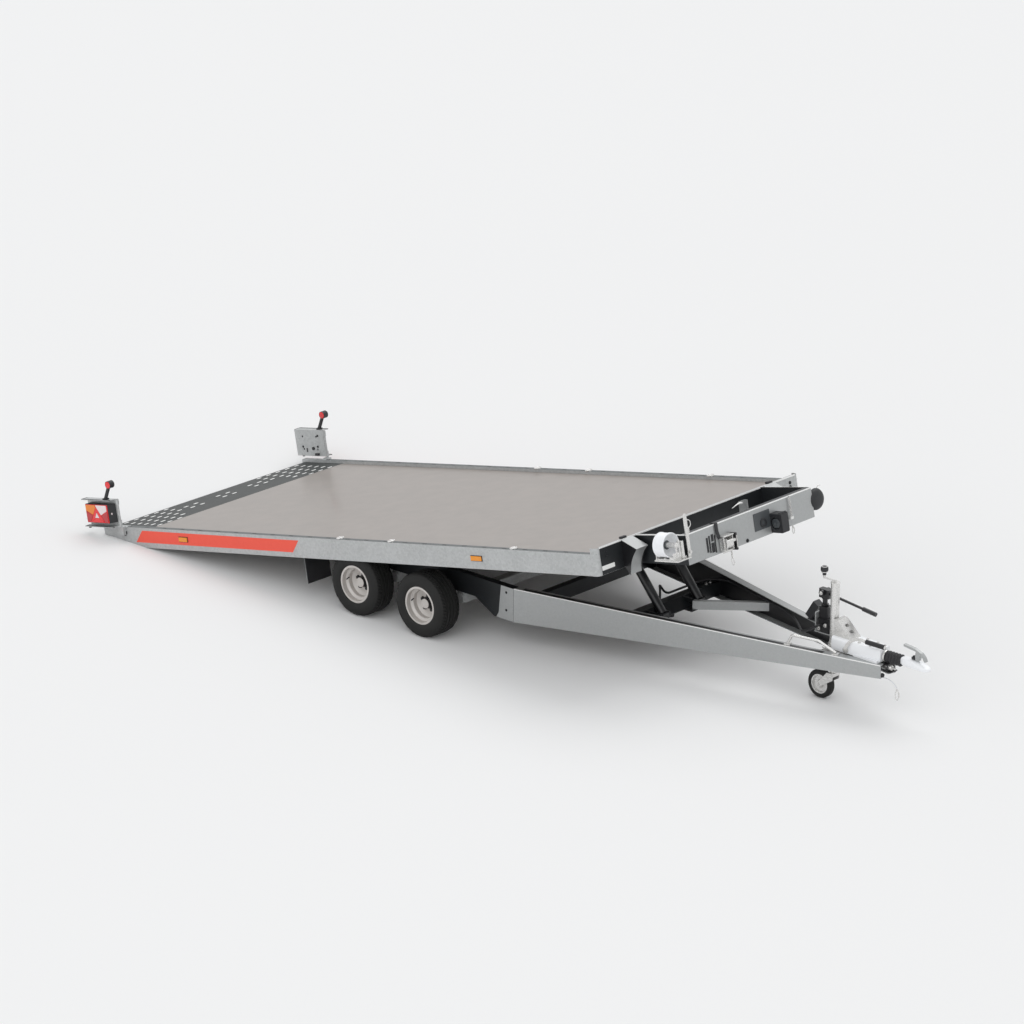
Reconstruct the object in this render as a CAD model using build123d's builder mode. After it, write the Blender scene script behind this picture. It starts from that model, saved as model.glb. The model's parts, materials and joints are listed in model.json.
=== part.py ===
"""Tilt-bed tandem-axle car transporter trailer, parked with its bed tipped.

Frame: +X towards the coupling, +Y to the left, +Z up, millimetres. The origin is on the
ground under the middle of the trailer's overall length. Everything on the bed is drawn with
the bed level, in the bed's own frame (origin on the tilt shaft's axis), and is turned to the
parked tilt when it is written.
"""
import os
from math import asin, atan, atan2, cos, degrees, hypot, pi, sin, tan

from build123d import *

os.makedirs("parts", exist_ok=True)

# ---------------------------------------------------------------- clearances
RUNNING = 0.3            # between a shaft and its bush, and between curved faces that only touch
SIDE_GAP = 6.0           # between a moving piece and the piece beside it
SEAT_GAP = 0.3           # between a curved face and its seat in the same body
TOUCH_GAP = 0.1          # under a level piece that stands on the sloping drawbar

# ---------------------------------------------------------------- bed
BED_WIDTH = 2100.0       # over the side rails
BED_AHEAD = 2112.0       # tilt shaft to the bed's front face
BED_BEHIND = 2818.0      # tilt shaft to the tips of the side rails
RAIL_TOP = 215.0         # top of the side rails above the tilt shaft
RAIL_DEPTH = 150.0
RAIL_WALL = 3.0
RAIL_FLANGE = 45.0       # width of the rail's top
RAIL_FOOT_FLANGE = 12.0
RAIL_LIP = 24.0          # inner edge of the rail's top, turned down past the deck
TAPER_LONG = 438.0       # tail's taper, which ends at the tips of the side rails
DECK_DROP = 20.0         # deck below the rail's top
DECK_THICK = 18.0
DECK_GAP = 2.0           # between the deck and the tail plate
CROSS_DEPTH = 40.0       # members across the bed, under the deck
CROSS_WIDTH = 40.0
CROSS_PITCH = 460.0      # counted from the member that takes the lifting cylinders
CROSS_AHEAD = 1          # members ahead of that one
CROSS_BEHIND = 9         # members behind it
LONG_DEPTH = 80.0        # members along the bed, under the cross members
LONG_WIDTH = 45.0
LONG_Y = 600.0
SECTION_WALL = 4.0
TAIL_SHEET = 4.0
CREST_BACK = 28.0        # tail sheet's crest ahead of the rail tips
SLOT_LONG = 46.0
SLOT_WIDE = 20.0
TAIL_ROWS = (6, 6, 6, 5, 3)      # slots in each row, from the rail inwards
TAIL_ROW_Y = 882.0       # outermost row from the middle of the bed
TAIL_ROW_PITCH = 100.0
TAIL_SLOT_PITCH = 73.0
TAIL_FIRST = 34.0        # first slot ahead of the crest
MID_GROUPS = (-330.0, 0.0, 330.0)
LASH_SLOT_LONG = 40.0
LASH_SLOT_WIDE = 12.0
LASH_PITCH = 190.0
LASH_COUNT = 24

# ---------------------------------------------------------------- front of the bed
FRONT_RISE = 40.0        # front beam above the rails
FRONT_PLATE = 4.0
FRONT_FLANGE = 30.0
CORNER_R = 30.0          # bend of the front beam round the bed's corners
CORNER_RETURN = 20.0     # straight part of that bend along the rail
BAR_REACH = 450.0        # winch bar ahead of the front beam
BAR_HALF = 655.0         # half the winch bar's width
BAR_RISE = 55.0          # winch bar above the rails
BAR_PLATE = 5.0
BAR_FLANGE = 40.0
GUARD_Y = 742.0          # middle of each curved bracket
GUARD_WIDE = 115.0
GUARD_NOSE = 130.0       # bracket's nose ahead of the front beam
GUARD_FALL = 59.0        # nose below the bracket's top
GUARD_FOOT = 50.0        # bracket's foot below the front beam
GUARD_SHEET = 4.0
WINCH_AHEAD = 372.0      # middle of the winch ahead of the front beam
WINCH_LONG = 140.0
WINCH_WIDE = 137.0
WINCH_OUT = 91.0         # drum's axis outside the winch bar's arm
WINCH_SEAT = 115.0
WINCH_Z = 220.0
WINCH_PLATE = 8.0
WINCH_FLANGE_R = 85.0
WINCH_BARREL_R = 60.0
WINCH_SHAFT_R = 14.0
RELEASE_Y = -640.0       # flat lever at the right end of the winch bar
RELEASE_FOOT = 120.0
RELEASE_TOP = 412.0
RELEASE_WIDE = 30.0
RELEASE_THICK = 6.0
RATCHET_Y = -275.0
RATCHET_WIDE = 110.0
RATCHET_HIGH = 85.0
RATCHET_FOOT = 75.0
SOCKET_Y = 240.0
SOCKET_UP = 131.0
SOCKET_WIDE = 82.0
SOCKET_HIGH = 135.0
SOCKET_DEEP = 93.0
SOCKET_BORE = 34.0
FLAP_OUT = 1035.0        # outer edge of the mudflaps
FLAP_WIDE = 235.0
FLAP_FOOT = -130.0
FLAP_THICK = 6.0

# ---------------------------------------------------------------- chassis
TILT_SHAFT_Z = 400.6
TILT_SHAFT_R = 20.0
BUSH_WALL = 12.0
BUSH_LONG = 60.0
CHASSIS_HALF = 750.0     # half the chassis width, over its rails
CHASSIS_TOP = 445.0
CHASSIS_FOOT = 300.0
CHASSIS_FLANGE = 55.0
CHASSIS_WALL = 5.0
CHASSIS_BEHIND = 430.0   # tilt shaft to the chassis's rear end
SEAM_AHEAD = 1010.0      # tilt shaft to the bolted seam of rail and drawbar
SEAM_FOOT = 200.0        # underside of the drawbar at the seam
HAUNCH_LONG = 180.0      # length over which the rail keeps the seam's depth
HAUNCH_RAMP = 180.0
NOSE_AHEAD = 3680.0      # tilt shaft to the drawbar's front end
NOSE_HALF = 80.0         # half the drawbar's width at its front end
NOSE_TOP = 393.0
NOSE_FOOT = 300.0
DRAWBAR_FLANGE = 60.0
DRAWBAR_WALL = 5.0

# ---------------------------------------------------------------- wheels and axles
FRONT_AXLE_AHEAD = 371.0
REAR_AXLE_BEHIND = 256.0
TYRE_R = 232.0
TYRE_WIDE = 195.0
TYRE_OUTER_Y = 1030.0    # tyre's outer wall from the middle of the trailer
TREAD_WIDE = 160.0
RIM_FLANGE_R = 145.0
RIM_SEAT_R = 127.0
RIM_WELL_R = 108.0
RIM_WIDE = 165.0
RIM_SHEET = 5.0
DISC_DEPTH = 92.0        # wheel disc behind the rim's outer edge
BOLT_CIRCLE = 112.0
BOLT_HEAD_R = 10.5
BOLT_HEAD_HIGH = 13.0
BOLT_COUNT = 5
HUB_R = 33.0
DRUM_R = 92.0
DRUM_WIDE = 55.0
AXLE_TUBE = 76.0         # across the square axle tube
AXLE_LEAD = 150.0        # axle tube ahead of the wheel's centre
AXLE_ARM_THICK = 26.0
ARM_END_R = 34.0         # half the arm's depth at the axle tube
ARM_TIP_R = 28.0         # half the arm's depth at the stub
STUB_R = 18.0

# ---------------------------------------------------------------- lifting cylinders
CYL_Y = 190.0
CYL_FOOT_AHEAD = 1889.0  # tilt shaft to the cylinders' lower pins
CYL_FOOT_Z = 320.0
CYL_HEAD_AHEAD = 1539.0  # upper pins in the bed's frame
CYL_HEAD_UP = 100.0
CYL_R = 32.0
CYL_ROD_R = 17.0
CYL_EYE_R = 24.0
CYL_EYE_WIDE = 44.0      # of the rod's eye
CYL_FOOT_WIDE = 64.0     # of the barrel's eye
CYL_PIN_R = 10.0
EAR_THICK = 10.0
LIFT_BEAM_AHEAD = 1730.0
LIFT_BEAM_DEPTH = 100.0
LIFT_BEAM_WIDE = 70.0
LIFT_BEAM_TOP = 338.0
LIFT_PLATE = 6.0         # sloping plate between the cylinders' lower ears
LIFT_PLATE_AHEAD = 1861.0
LIFT_PLATE_FALL = 46.0
BRACE_HIGH = 60.0
BRACE_WIDE = 36.0
BRACE_AHEAD = 2300.0     # tilt shaft to the brace's end at the drawbar beam

# ---------------------------------------------------------------- drawbar gear
HOUSING_AHEAD = 3230.0   # tilt shaft to the overrun housing's rear
HOUSING_LONG = 420.0
HOUSING_WIDE = 150.0
HOUSING_NOSE_WIDE = 104.0
HOUSING_HIGH = 90.0
HOUSING_BASE = 10.0      # plate under the housing, on both beams
BASE_AHEAD = 3440.0
DRAW_Z = 436.0           # height of the drawing tube
DRAW_R = 25.0
BELLOWS_R = 42.0
BELLOWS_LONG = 150.0
BELLOWS_FOLDS = 6
COUPLING_LONG = 225.0
COUPLING_HALF = 36.0
HEAD_DROP = 22.0         # coupling head's underside below the drawing tube's middle
HEAD_HIGH = 60.0
LATCH_WIDE = 26.0        # coupling's handle
BALL_R = 25.0
MAST_AHEAD = 3220.0      # tilt shaft to the jockey mast
MAST_R = 30.0
MAST_TOP = 838.0
MAST_FOOT = 330.0
CRANK_TURN = 95.0
STEM_R = 25.0
STEM_TOP = 560.0
STEM_FOOT = 205.0
JOCKEY_TRAIL = 100.0
BRACKET_HIGH = 45.0      # bracket that holds the mast between the beams
JOCKEY_R = 100.0
JOCKEY_WIDE = 55.0
JOCKEY_RIM_R = 68.0
PUMP_AHEAD = 3045.0
PUMP_Y = 140.0
WEDGE_WIDE = 104.0       # sheet wedge behind the housing, which holds the plug
WEDGE_TOP = 602.0
WEDGE_FLAT = 30.0
WEDGE_LONG = 150.0
WEDGE_SHEET = 3.0
BRAKE_AHEAD = 3380.0     # tilt shaft to the handbrake's pivot
BRAKE_Z = 424.0
BRAKE_GRIP = 150.0
HANDLE_REAR = 3010.0     # grab handle's ends, ahead of the tilt shaft
HANDLE_FRONT = 3350.0
HANDLE_RISE = 75.0
HANDLE_R = 9.0
LEVER_LONG = 380.0       # hand pump's lever
LEVER_FALL = 0.12        # radians below level
VALVE_AHEAD = 2830.0
HOSE_R = 8.0
HOSE_IN = 30.0           # hose inside the drawbar beam's outer face
BEND_SHARE = 0.45        # of a tube's shorter run, taken up by the bend at its end
CABLE_R = 2.5
HOOK_LONG = 84.0         # snap hook at the breakaway cable's end
HOOK_WIDE = 38.0
HOOK_THICK = 6.0

# ---------------------------------------------------------------- lamps
LAMP_PIVOT_BACK = 218.0  # lamp hinge ahead of the rail tips
LAMP_PIVOT_OUT = 22.0    # lamp hinge outside the rail
LAMP_PIN_R = 8.0
LAMP_LONG = 277.0
LAMP_INSET = 28.0        # lamp's rear end ahead of its frame's
LAMP_HIGH = 140.0
LAMP_DEEP = 52.0
LAMP_FRAME_LONG = 325.0
LAMP_FRAME_HIGH = 205.0
LAMP_SHEET = 4.0
LAMP_SET = 14.0          # lamp frame's edge from its hinge pin
LAMP_FOOT = 12.0         # lamp frame above the rail's top
LAMP_UP = 30.0           # lamp above its frame's foot
LAMP_SHELF = 62.0        # depth of the frame's top and bottom
LAMP_SHELF_LONG = 311.0
POST_FOOT = 158.0
MARKER_HIGH = 130.0
MARKER_R = 28.0
MARKER_DEEP = 44.0
MARKER_FOOT = 32.0       # marker outside the lamp frame
MARKER_AHEAD = 245.0     # marker's foot ahead of the lamp frame's rear end
MARKER_LEAN = 0.6        # forwards for each millimetre up

# ---------------------------------------------------------------- worked out
TAPER_AT = BED_BEHIND - TAPER_LONG      # tilt shaft to the start of the tail's taper
RAIL_FOOT = RAIL_TOP - RAIL_DEPTH
TILT = degrees(asin(TILT_SHAFT_Z / hypot(TAPER_AT, RAIL_FOOT)) + atan(RAIL_FOOT / TAPER_AT))
SIN_T = sin(TILT * pi / 180)
COS_T = cos(TILT * pi / 180)
DECK_TOP = RAIL_TOP - DECK_DROP
DECK_FOOT = DECK_TOP - DECK_THICK
CROSS_FOOT = DECK_FOOT - CROSS_DEPTH
LONG_FOOT = CROSS_FOOT - LONG_DEPTH
FRONT_TOP = RAIL_TOP + FRONT_RISE
BED_HALF = BED_WIDTH / 2
DECK_HALF = BED_HALF - RAIL_FLANGE - SEAT_GAP
LAMP_PIVOT_U = -BED_BEHIND + LAMP_PIVOT_BACK
LAMP_PIVOT_Y = BED_HALF + LAMP_PIVOT_OUT
COUPLING_AHEAD = HOUSING_AHEAD + HOUSING_LONG + BELLOWS_LONG
NOSE_REACH = COUPLING_AHEAD + COUPLING_LONG
REAR_REACH = (BED_BEHIND - LAMP_PIVOT_BACK + LAMP_FRAME_LONG) * COS_T \
    + (RAIL_TOP + LAMP_FOOT + LAMP_FRAME_HIGH) * SIN_T
SHAFT_X = (REAR_REACH - NOSE_REACH) / 2
WHEEL_Y = TYRE_OUTER_Y - TYRE_WIDE / 2
DRAWBAR_SLOPE = (CHASSIS_HALF - NOSE_HALF) / (NOSE_AHEAD - SEAM_AHEAD)
DRAWBAR_ANGLE = atan(DRAWBAR_SLOPE)
BED = Location((SHAFT_X, 0, TILT_SHAFT_Z), (0, -TILT, 0))


def along(distance):
    """World x of a place so far ahead of the tilt shaft."""
    return SHAFT_X + distance


def drawbar_half(ahead):
    """Outer half width of the drawbar so far ahead of the tilt shaft."""
    return CHASSIS_HALF - (ahead - SEAM_AHEAD) * DRAWBAR_SLOPE


def drawbar_top(ahead):
    """Height of the drawbar's top so far ahead of the tilt shaft."""
    share = (ahead - SEAM_AHEAD) / (NOSE_AHEAD - SEAM_AHEAD)
    return CHASSIS_TOP + (NOSE_TOP - CHASSIS_TOP) * share


def write(builder, name):
    """Label a finished piece of the chassis and write it."""
    builder.part.label = name
    export_step(builder.part, f"parts/{name}.step")


def write_on_bed(builder, name):
    """Turn a piece drawn on the level bed to the parked tilt, label it and write it."""
    piece = builder.part.moved(BED)
    piece.label = name
    export_step(piece, f"parts/{name}.step")


def side_plane(y):
    """Plane at y that looks along +Y, with x forward and y up."""
    return Plane(origin=(0, y, 0), x_dir=(1, 0, 0), z_dir=(0, -1, 0))


def tube_bends(points):
    """Bend radius at each corner of a tube's route, as large as its shorter run allows."""
    places = [Vector(*point) for point in points]
    radii = []
    for back, corner, ahead in zip(places, places[1:], places[2:]):
        turn = (corner - back).get_angle(ahead - corner) * pi / 180
        shorter = min((corner - back).length, (ahead - corner).length)
        radii.append(BEND_SHARE * shorter / tan(turn / 2))
    return radii


# ================================================================ bed
def rail_foot(u):
    """Underside of the side rail in the bed's frame; the taper lies flat on the ground."""
    if u > -TAPER_AT:
        return RAIL_FOOT
    return (-TILT_SHAFT_Z - u * SIN_T) / COS_T


RAIL_FRONT = BED_AHEAD - CORNER_R
TIP_FOOT = rail_foot(-BED_BEHIND)

with BuildPart() as side_rails:
    with BuildSketch(side_plane(-BED_HALF + RAIL_WALL)):
        with BuildLine():
            Polyline((-BED_BEHIND, TIP_FOOT), (-TAPER_AT, RAIL_FOOT), (RAIL_FRONT, RAIL_FOOT),
                     (RAIL_FRONT, RAIL_TOP), (-BED_BEHIND, RAIL_TOP), close=True)
        make_face()
    extrude(amount=RAIL_WALL)
    with BuildSketch(side_plane(-BED_HALF + RAIL_FOOT_FLANGE)):
        with BuildLine():
            Polyline((-BED_BEHIND, TIP_FOOT), (-TAPER_AT, RAIL_FOOT), (RAIL_FRONT, RAIL_FOOT),
                     (RAIL_FRONT, RAIL_FOOT + RAIL_WALL), (-TAPER_AT, RAIL_FOOT + RAIL_WALL),
                     (-BED_BEHIND, TIP_FOOT + RAIL_WALL), close=True)
        make_face()
    extrude(amount=RAIL_FOOT_FLANGE)
    with BuildSketch(side_plane(-BED_HALF + RAIL_FLANGE)):
        with BuildLine():
            Polyline((-BED_BEHIND, RAIL_TOP - RAIL_WALL), (RAIL_FRONT, RAIL_TOP - RAIL_WALL),
                     (RAIL_FRONT, RAIL_TOP), (-BED_BEHIND, RAIL_TOP), close=True)
        make_face()
    extrude(amount=RAIL_FLANGE)
    with BuildSketch(side_plane(-BED_HALF + RAIL_FLANGE)):
        with BuildLine():
            Polyline((-BED_BEHIND, RAIL_TOP - RAIL_LIP), (RAIL_FRONT, RAIL_TOP - RAIL_LIP),
                     (RAIL_FRONT, RAIL_TOP), (-BED_BEHIND, RAIL_TOP), close=True)
        make_face()
    extrude(amount=RAIL_WALL)
    with BuildSketch(Plane.YZ.offset(-BED_BEHIND)):
        with BuildLine():
            Polyline((-BED_HALF, TIP_FOOT), (-BED_HALF + RAIL_FLANGE, TIP_FOOT),
                     (-BED_HALF + RAIL_FLANGE, RAIL_TOP), (-BED_HALF, RAIL_TOP), close=True)
        make_face()
    extrude(amount=RAIL_WALL)
    with BuildSketch(Plane.XY.offset(RAIL_TOP)):
        with Locations(((RAIL_FRONT - BED_BEHIND) / 2, -BED_HALF + RAIL_FLANGE / 2)):
            with GridLocations(LASH_PITCH, 0, LASH_COUNT, 1):
                SlotOverall(LASH_SLOT_LONG, LASH_SLOT_WIDE)
    extrude(amount=-RAIL_WALL, mode=Mode.SUBTRACT)
    mirror(about=Plane.XZ)
write_on_bed(side_rails, "side_rails")

CROSS_PLACES = [CYL_HEAD_AHEAD + CROSS_PITCH * k for k in range(-CROSS_BEHIND, CROSS_AHEAD + 1)]
with BuildPart() as cross_members:
    for u in CROSS_PLACES:
        with BuildSketch(Plane.XZ.offset(-BED_HALF + RAIL_WALL)):
            with Locations((u, (DECK_FOOT + CROSS_FOOT) / 2)):
                Rectangle(CROSS_WIDTH, CROSS_DEPTH)
                Rectangle(CROSS_WIDTH - 2 * SECTION_WALL, CROSS_DEPTH - 2 * SECTION_WALL,
                          mode=Mode.SUBTRACT)
        extrude(amount=2 * (BED_HALF - RAIL_WALL))
write_on_bed(cross_members, "cross_members")

LONG_REAR = -(TAPER_AT - 4 * LONG_WIDTH)
LONG_FRONT = BED_AHEAD if LONG_FOOT > RAIL_FOOT + FRONT_PLATE else BED_AHEAD - FRONT_FLANGE
with BuildPart() as long_members:
    for side in (-1, 1):
        with BuildSketch(Plane.YZ.offset(LONG_REAR)):
            with Locations((side * LONG_Y, (CROSS_FOOT + LONG_FOOT) / 2)):
                Rectangle(LONG_WIDTH, LONG_DEPTH)
                Rectangle(LONG_WIDTH - 2 * SECTION_WALL, LONG_DEPTH - 2 * SECTION_WALL,
                          mode=Mode.SUBTRACT)
        extrude(amount=LONG_FRONT - LONG_REAR)
write_on_bed(long_members, "long_members")

with BuildPart() as tilt_brackets:
    for side in (-1, 1):
        with BuildSketch(Plane.XZ.offset(-side * LONG_Y - BUSH_LONG / 2)):
            Circle(TILT_SHAFT_R + BUSH_WALL)
            with Locations((0, LONG_FOOT / 2)):
                Rectangle(2 * (TILT_SHAFT_R + BUSH_WALL), LONG_FOOT)
            Circle(TILT_SHAFT_R + RUNNING, mode=Mode.SUBTRACT)
        extrude(amount=BUSH_LONG)
write_on_bed(tilt_brackets, "tilt_brackets")

DECK_FRONT = BED_AHEAD - DECK_GAP / 2
DECK_REAR = -TAPER_AT + DECK_GAP
with BuildPart() as deck_board:
    with BuildSketch(Plane.XY.offset(DECK_FOOT)):
        with Locations(((DECK_FRONT + DECK_REAR) / 2, 0)):
            Rectangle(DECK_FRONT - DECK_REAR, 2 * DECK_HALF)
    extrude(amount=DECK_THICK)
write_on_bed(deck_board, "deck_board")

CREST = -BED_BEHIND + CREST_BACK
TAIL_FRONT = DECK_REAR - DECK_GAP
with BuildPart() as tail_plate:
    with BuildSketch(Plane.XZ.offset(-DECK_HALF)):
        with BuildLine():
            Polyline((TAIL_FRONT, DECK_TOP), (CREST, DECK_TOP), (-BED_BEHIND, TIP_FOOT + TAIL_SHEET),
                     (-BED_BEHIND, TIP_FOOT), (-BED_BEHIND + TAIL_SHEET, TIP_FOOT),
                     (CREST + TAIL_SHEET, DECK_TOP - TAIL_SHEET),
                     (TAIL_FRONT, DECK_TOP - TAIL_SHEET), close=True)
        make_face()
    extrude(amount=2 * DECK_HALF)
    with BuildSketch(Plane.XY.offset(DECK_TOP)):
        for side in (-1, 1):
            for row, count in enumerate(TAIL_ROWS):
                for k in range(count):
                    with Locations((CREST + TAIL_FIRST + k * TAIL_SLOT_PITCH,
                                    side * (TAIL_ROW_Y - row * TAIL_ROW_PITCH))):
                        SlotOverall(SLOT_LONG, SLOT_WIDE, rotation=90)
        for y in MID_GROUPS:
            with Locations((CREST + TAIL_FIRST + 2 * TAIL_SLOT_PITCH, y)):
                with GridLocations(TAIL_SLOT_PITCH, TAIL_ROW_PITCH, 2, 2):
                    SlotOverall(SLOT_LONG, SLOT_WIDE, rotation=90)
    extrude(amount=-TAIL_SHEET, mode=Mode.SUBTRACT)
write_on_bed(tail_plate, "tail_plate")

FRONT_FACE = BED_AHEAD + FRONT_PLATE
CORNER_HALF = BED_HALF + FRONT_PLATE
with BuildPart() as front_beam:
    with BuildSketch(Plane.XY.offset(RAIL_FOOT)):
        with BuildLine():
            Polyline((RAIL_FRONT - CORNER_RETURN, -CORNER_HALF), (FRONT_FACE - CORNER_R, -CORNER_HALF))
            RadiusArc((FRONT_FACE - CORNER_R, -CORNER_HALF), (FRONT_FACE, -CORNER_HALF + CORNER_R),
                      -CORNER_R)
            Line((FRONT_FACE, -CORNER_HALF + CORNER_R), (FRONT_FACE, CORNER_HALF - CORNER_R))
            RadiusArc((FRONT_FACE, CORNER_HALF - CORNER_R), (FRONT_FACE - CORNER_R, CORNER_HALF),
                      -CORNER_R)
            Polyline((FRONT_FACE - CORNER_R, CORNER_HALF), (RAIL_FRONT - CORNER_RETURN, CORNER_HALF),
                     (RAIL_FRONT - CORNER_RETURN, BED_HALF), (BED_AHEAD - CORNER_R + FRONT_PLATE, BED_HALF))
            RadiusArc((BED_AHEAD - CORNER_R + FRONT_PLATE, BED_HALF),
                      (BED_AHEAD, CORNER_HALF - CORNER_R), CORNER_R - FRONT_PLATE)
            Line((BED_AHEAD, CORNER_HALF - CORNER_R), (BED_AHEAD, -CORNER_HALF + CORNER_R))
            RadiusArc((BED_AHEAD, -CORNER_HALF + CORNER_R),
                      (BED_AHEAD - CORNER_R + FRONT_PLATE, -BED_HALF), CORNER_R - FRONT_PLATE)
            Polyline((BED_AHEAD - CORNER_R + FRONT_PLATE, -BED_HALF),
                     (RAIL_FRONT - CORNER_RETURN, -BED_HALF), (RAIL_FRONT - CORNER_RETURN, -CORNER_HALF))
        make_face()
    extrude(amount=FRONT_TOP - RAIL_FOOT)
    with BuildSketch(Plane.XY.offset(FRONT_TOP)):
        with Locations((BED_AHEAD - FRONT_FLANGE / 4, 0)):
            Rectangle(FRONT_FLANGE / 2, 2 * DECK_HALF)
    extrude(amount=-FRONT_PLATE)
    with BuildSketch(Plane.XY.offset(RAIL_FOOT)):
        with Locations((BED_AHEAD - FRONT_FLANGE / 2, 0)):
            Rectangle(FRONT_FLANGE, 2 * DECK_HALF)
    extrude(amount=FRONT_PLATE)
write_on_bed(front_beam, "front_beam")

BAR_FACE = FRONT_FACE + BAR_REACH
BAR_FOOT = RAIL_FOOT - 5.0
BAR_TOP = RAIL_TOP + BAR_RISE
with BuildPart() as winch_bar:
    with BuildSketch(Plane.XY.offset(BAR_FOOT)):
        with Locations((FRONT_FACE + BAR_REACH / 2, 0)):
            Rectangle(BAR_REACH, 2 * BAR_HALF)
        with Locations((FRONT_FACE + (BAR_REACH - BAR_PLATE) / 2, 0)):
            Rectangle(BAR_REACH - BAR_PLATE, 2 * (BAR_HALF - BAR_PLATE), mode=Mode.SUBTRACT)
    extrude(amount=BAR_TOP - BAR_FOOT)
    with BuildSketch(Plane.XZ.offset(-BAR_HALF)):
        with BuildLine():
            Polyline((FRONT_FACE, FRONT_TOP), (BAR_FACE - BAR_PLATE, BAR_TOP), (FRONT_FACE, BAR_TOP),
                     close=True)
        make_face()
    extrude(amount=2 * BAR_HALF, mode=Mode.SUBTRACT)
    for height in (BAR_FOOT, BAR_TOP - BAR_PLATE):
        with BuildSketch(Plane.XY.offset(height)):
            with Locations((BAR_FACE - BAR_PLATE - BAR_FLANGE / 2, 0)):
                Rectangle(BAR_FLANGE, 2 * (BAR_HALF - BAR_PLATE))
        extrude(amount=BAR_PLATE)
write_on_bed(winch_bar, "winch_bar")

GUARD_TOP = FRONT_TOP - 3.0
GUARD_LOW = RAIL_FOOT - GUARD_FOOT
with BuildPart() as guard_brackets:
    for side in (-1, 1):
        with BuildSketch(Plane.XZ.offset(-side * GUARD_Y - GUARD_WIDE / 2)):
            with BuildLine():
                Polyline((FRONT_FACE, GUARD_TOP), (FRONT_FACE + GUARD_NOSE, GUARD_TOP - GUARD_FALL))
                ThreePointArc((FRONT_FACE + GUARD_NOSE, GUARD_TOP - GUARD_FALL),
                              (FRONT_FACE + GUARD_NOSE * 0.52, GUARD_TOP - GUARD_FALL - 75.0),
                              (FRONT_FACE + GUARD_NOSE * 0.34, GUARD_LOW))
                Polyline((FRONT_FACE + GUARD_NOSE * 0.34, GUARD_LOW), (FRONT_FACE, RAIL_FOOT + 10.0),
                         (FRONT_FACE, GUARD_TOP))
            make_face()
        extrude(amount=GUARD_WIDE)
        with BuildSketch(Plane.XZ.offset(-side * GUARD_Y - GUARD_WIDE / 2 + GUARD_SHEET)):
            with BuildLine():
                Polyline((FRONT_FACE + GUARD_SHEET, GUARD_TOP - 3 * GUARD_SHEET),
                         (FRONT_FACE + GUARD_NOSE - 5 * GUARD_SHEET, GUARD_TOP - GUARD_FALL - GUARD_SHEET),
                         (FRONT_FACE + GUARD_SHEET, RAIL_FOOT + 40.0), close=True)
            make_face()
        extrude(amount=GUARD_WIDE - 2 * GUARD_SHEET, mode=Mode.SUBTRACT)
write_on_bed(guard_brackets, "guard_brackets")

with BuildPart() as lift_ears:
    for side in (-1, 1):
        with BuildSketch(Plane.XY.offset(CROSS_FOOT - EAR_THICK)):
            with Locations((CYL_HEAD_AHEAD, side * CYL_Y)):
                Rectangle(CROSS_WIDTH * 3, CYL_EYE_WIDE + 2 * (SIDE_GAP + EAR_THICK))
        extrude(amount=EAR_THICK)
        for ear in (-1, 1):
            middle = side * CYL_Y + ear * (CYL_EYE_WIDE / 2 + SIDE_GAP + EAR_THICK / 2)
            with BuildSketch(Plane.XZ.offset(-middle - EAR_THICK / 2)):
                with Locations((CYL_HEAD_AHEAD, CYL_HEAD_UP)):
                    Circle(CYL_EYE_R)
                with Locations((CYL_HEAD_AHEAD, (CYL_HEAD_UP + CROSS_FOOT - EAR_THICK) / 2)):
                    Rectangle(2 * CYL_EYE_R, CROSS_FOOT - EAR_THICK - CYL_HEAD_UP)
                with Locations((CYL_HEAD_AHEAD, CYL_HEAD_UP)):
                    Circle(CYL_PIN_R + RUNNING, mode=Mode.SUBTRACT)
            extrude(amount=EAR_THICK)
write_on_bed(lift_ears, "lift_ears")


# ================================================================ chassis
SEAM_X = along(SEAM_AHEAD)
DRAWBAR_LONG = hypot(NOSE_AHEAD - SEAM_AHEAD, CHASSIS_HALF - NOSE_HALF)


def drawbar_plane(inset):
    """Upright plane along the right drawbar beam, so far inside its outer face."""
    out = Vector(sin(DRAWBAR_ANGLE), -cos(DRAWBAR_ANGLE), 0)
    start = Vector(SEAM_X, -CHASSIS_HALF, 0) - out * inset
    return Plane(origin=start, x_dir=(cos(DRAWBAR_ANGLE), sin(DRAWBAR_ANGLE), 0), z_dir=out)


def mirrored(plane):
    """The same upright plane on the other side of the trailer."""
    return Plane(origin=(plane.origin.X, -plane.origin.Y, 0), x_dir=(plane.x_dir.X, -plane.x_dir.Y, 0),
                 z_dir=(plane.z_dir.X, -plane.z_dir.Y, 0))


with BuildPart() as drawbar_beams:
    with BuildSketch(drawbar_plane(DRAWBAR_FLANGE)):
        with BuildLine():
            Polyline((0, SEAM_FOOT), (DRAWBAR_LONG, NOSE_FOOT), (DRAWBAR_LONG, NOSE_TOP),
                     (0, CHASSIS_TOP), close=True)
        make_face()
    extrude(amount=DRAWBAR_FLANGE)
    with BuildSketch(drawbar_plane(DRAWBAR_FLANGE + 1.0)):
        with BuildLine():
            Polyline((-DRAWBAR_FLANGE, SEAM_FOOT + DRAWBAR_WALL), (0, SEAM_FOOT + DRAWBAR_WALL),
                     (DRAWBAR_LONG + 1.0, NOSE_FOOT + DRAWBAR_WALL),
                     (DRAWBAR_LONG + 1.0, NOSE_TOP - DRAWBAR_WALL), (0, CHASSIS_TOP - DRAWBAR_WALL),
                     (-DRAWBAR_FLANGE, CHASSIS_TOP - DRAWBAR_WALL), close=True)
        make_face()
    extrude(amount=DRAWBAR_FLANGE + 1.0 - DRAWBAR_WALL, mode=Mode.SUBTRACT)
    split(bisect_by=Plane.YZ.offset(SEAM_X), keep=Keep.TOP)
    split(bisect_by=Plane.XZ.offset(SIDE_GAP), keep=Keep.TOP)
    mirror(about=Plane.XZ)
write(drawbar_beams, "drawbar_beams")

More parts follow.
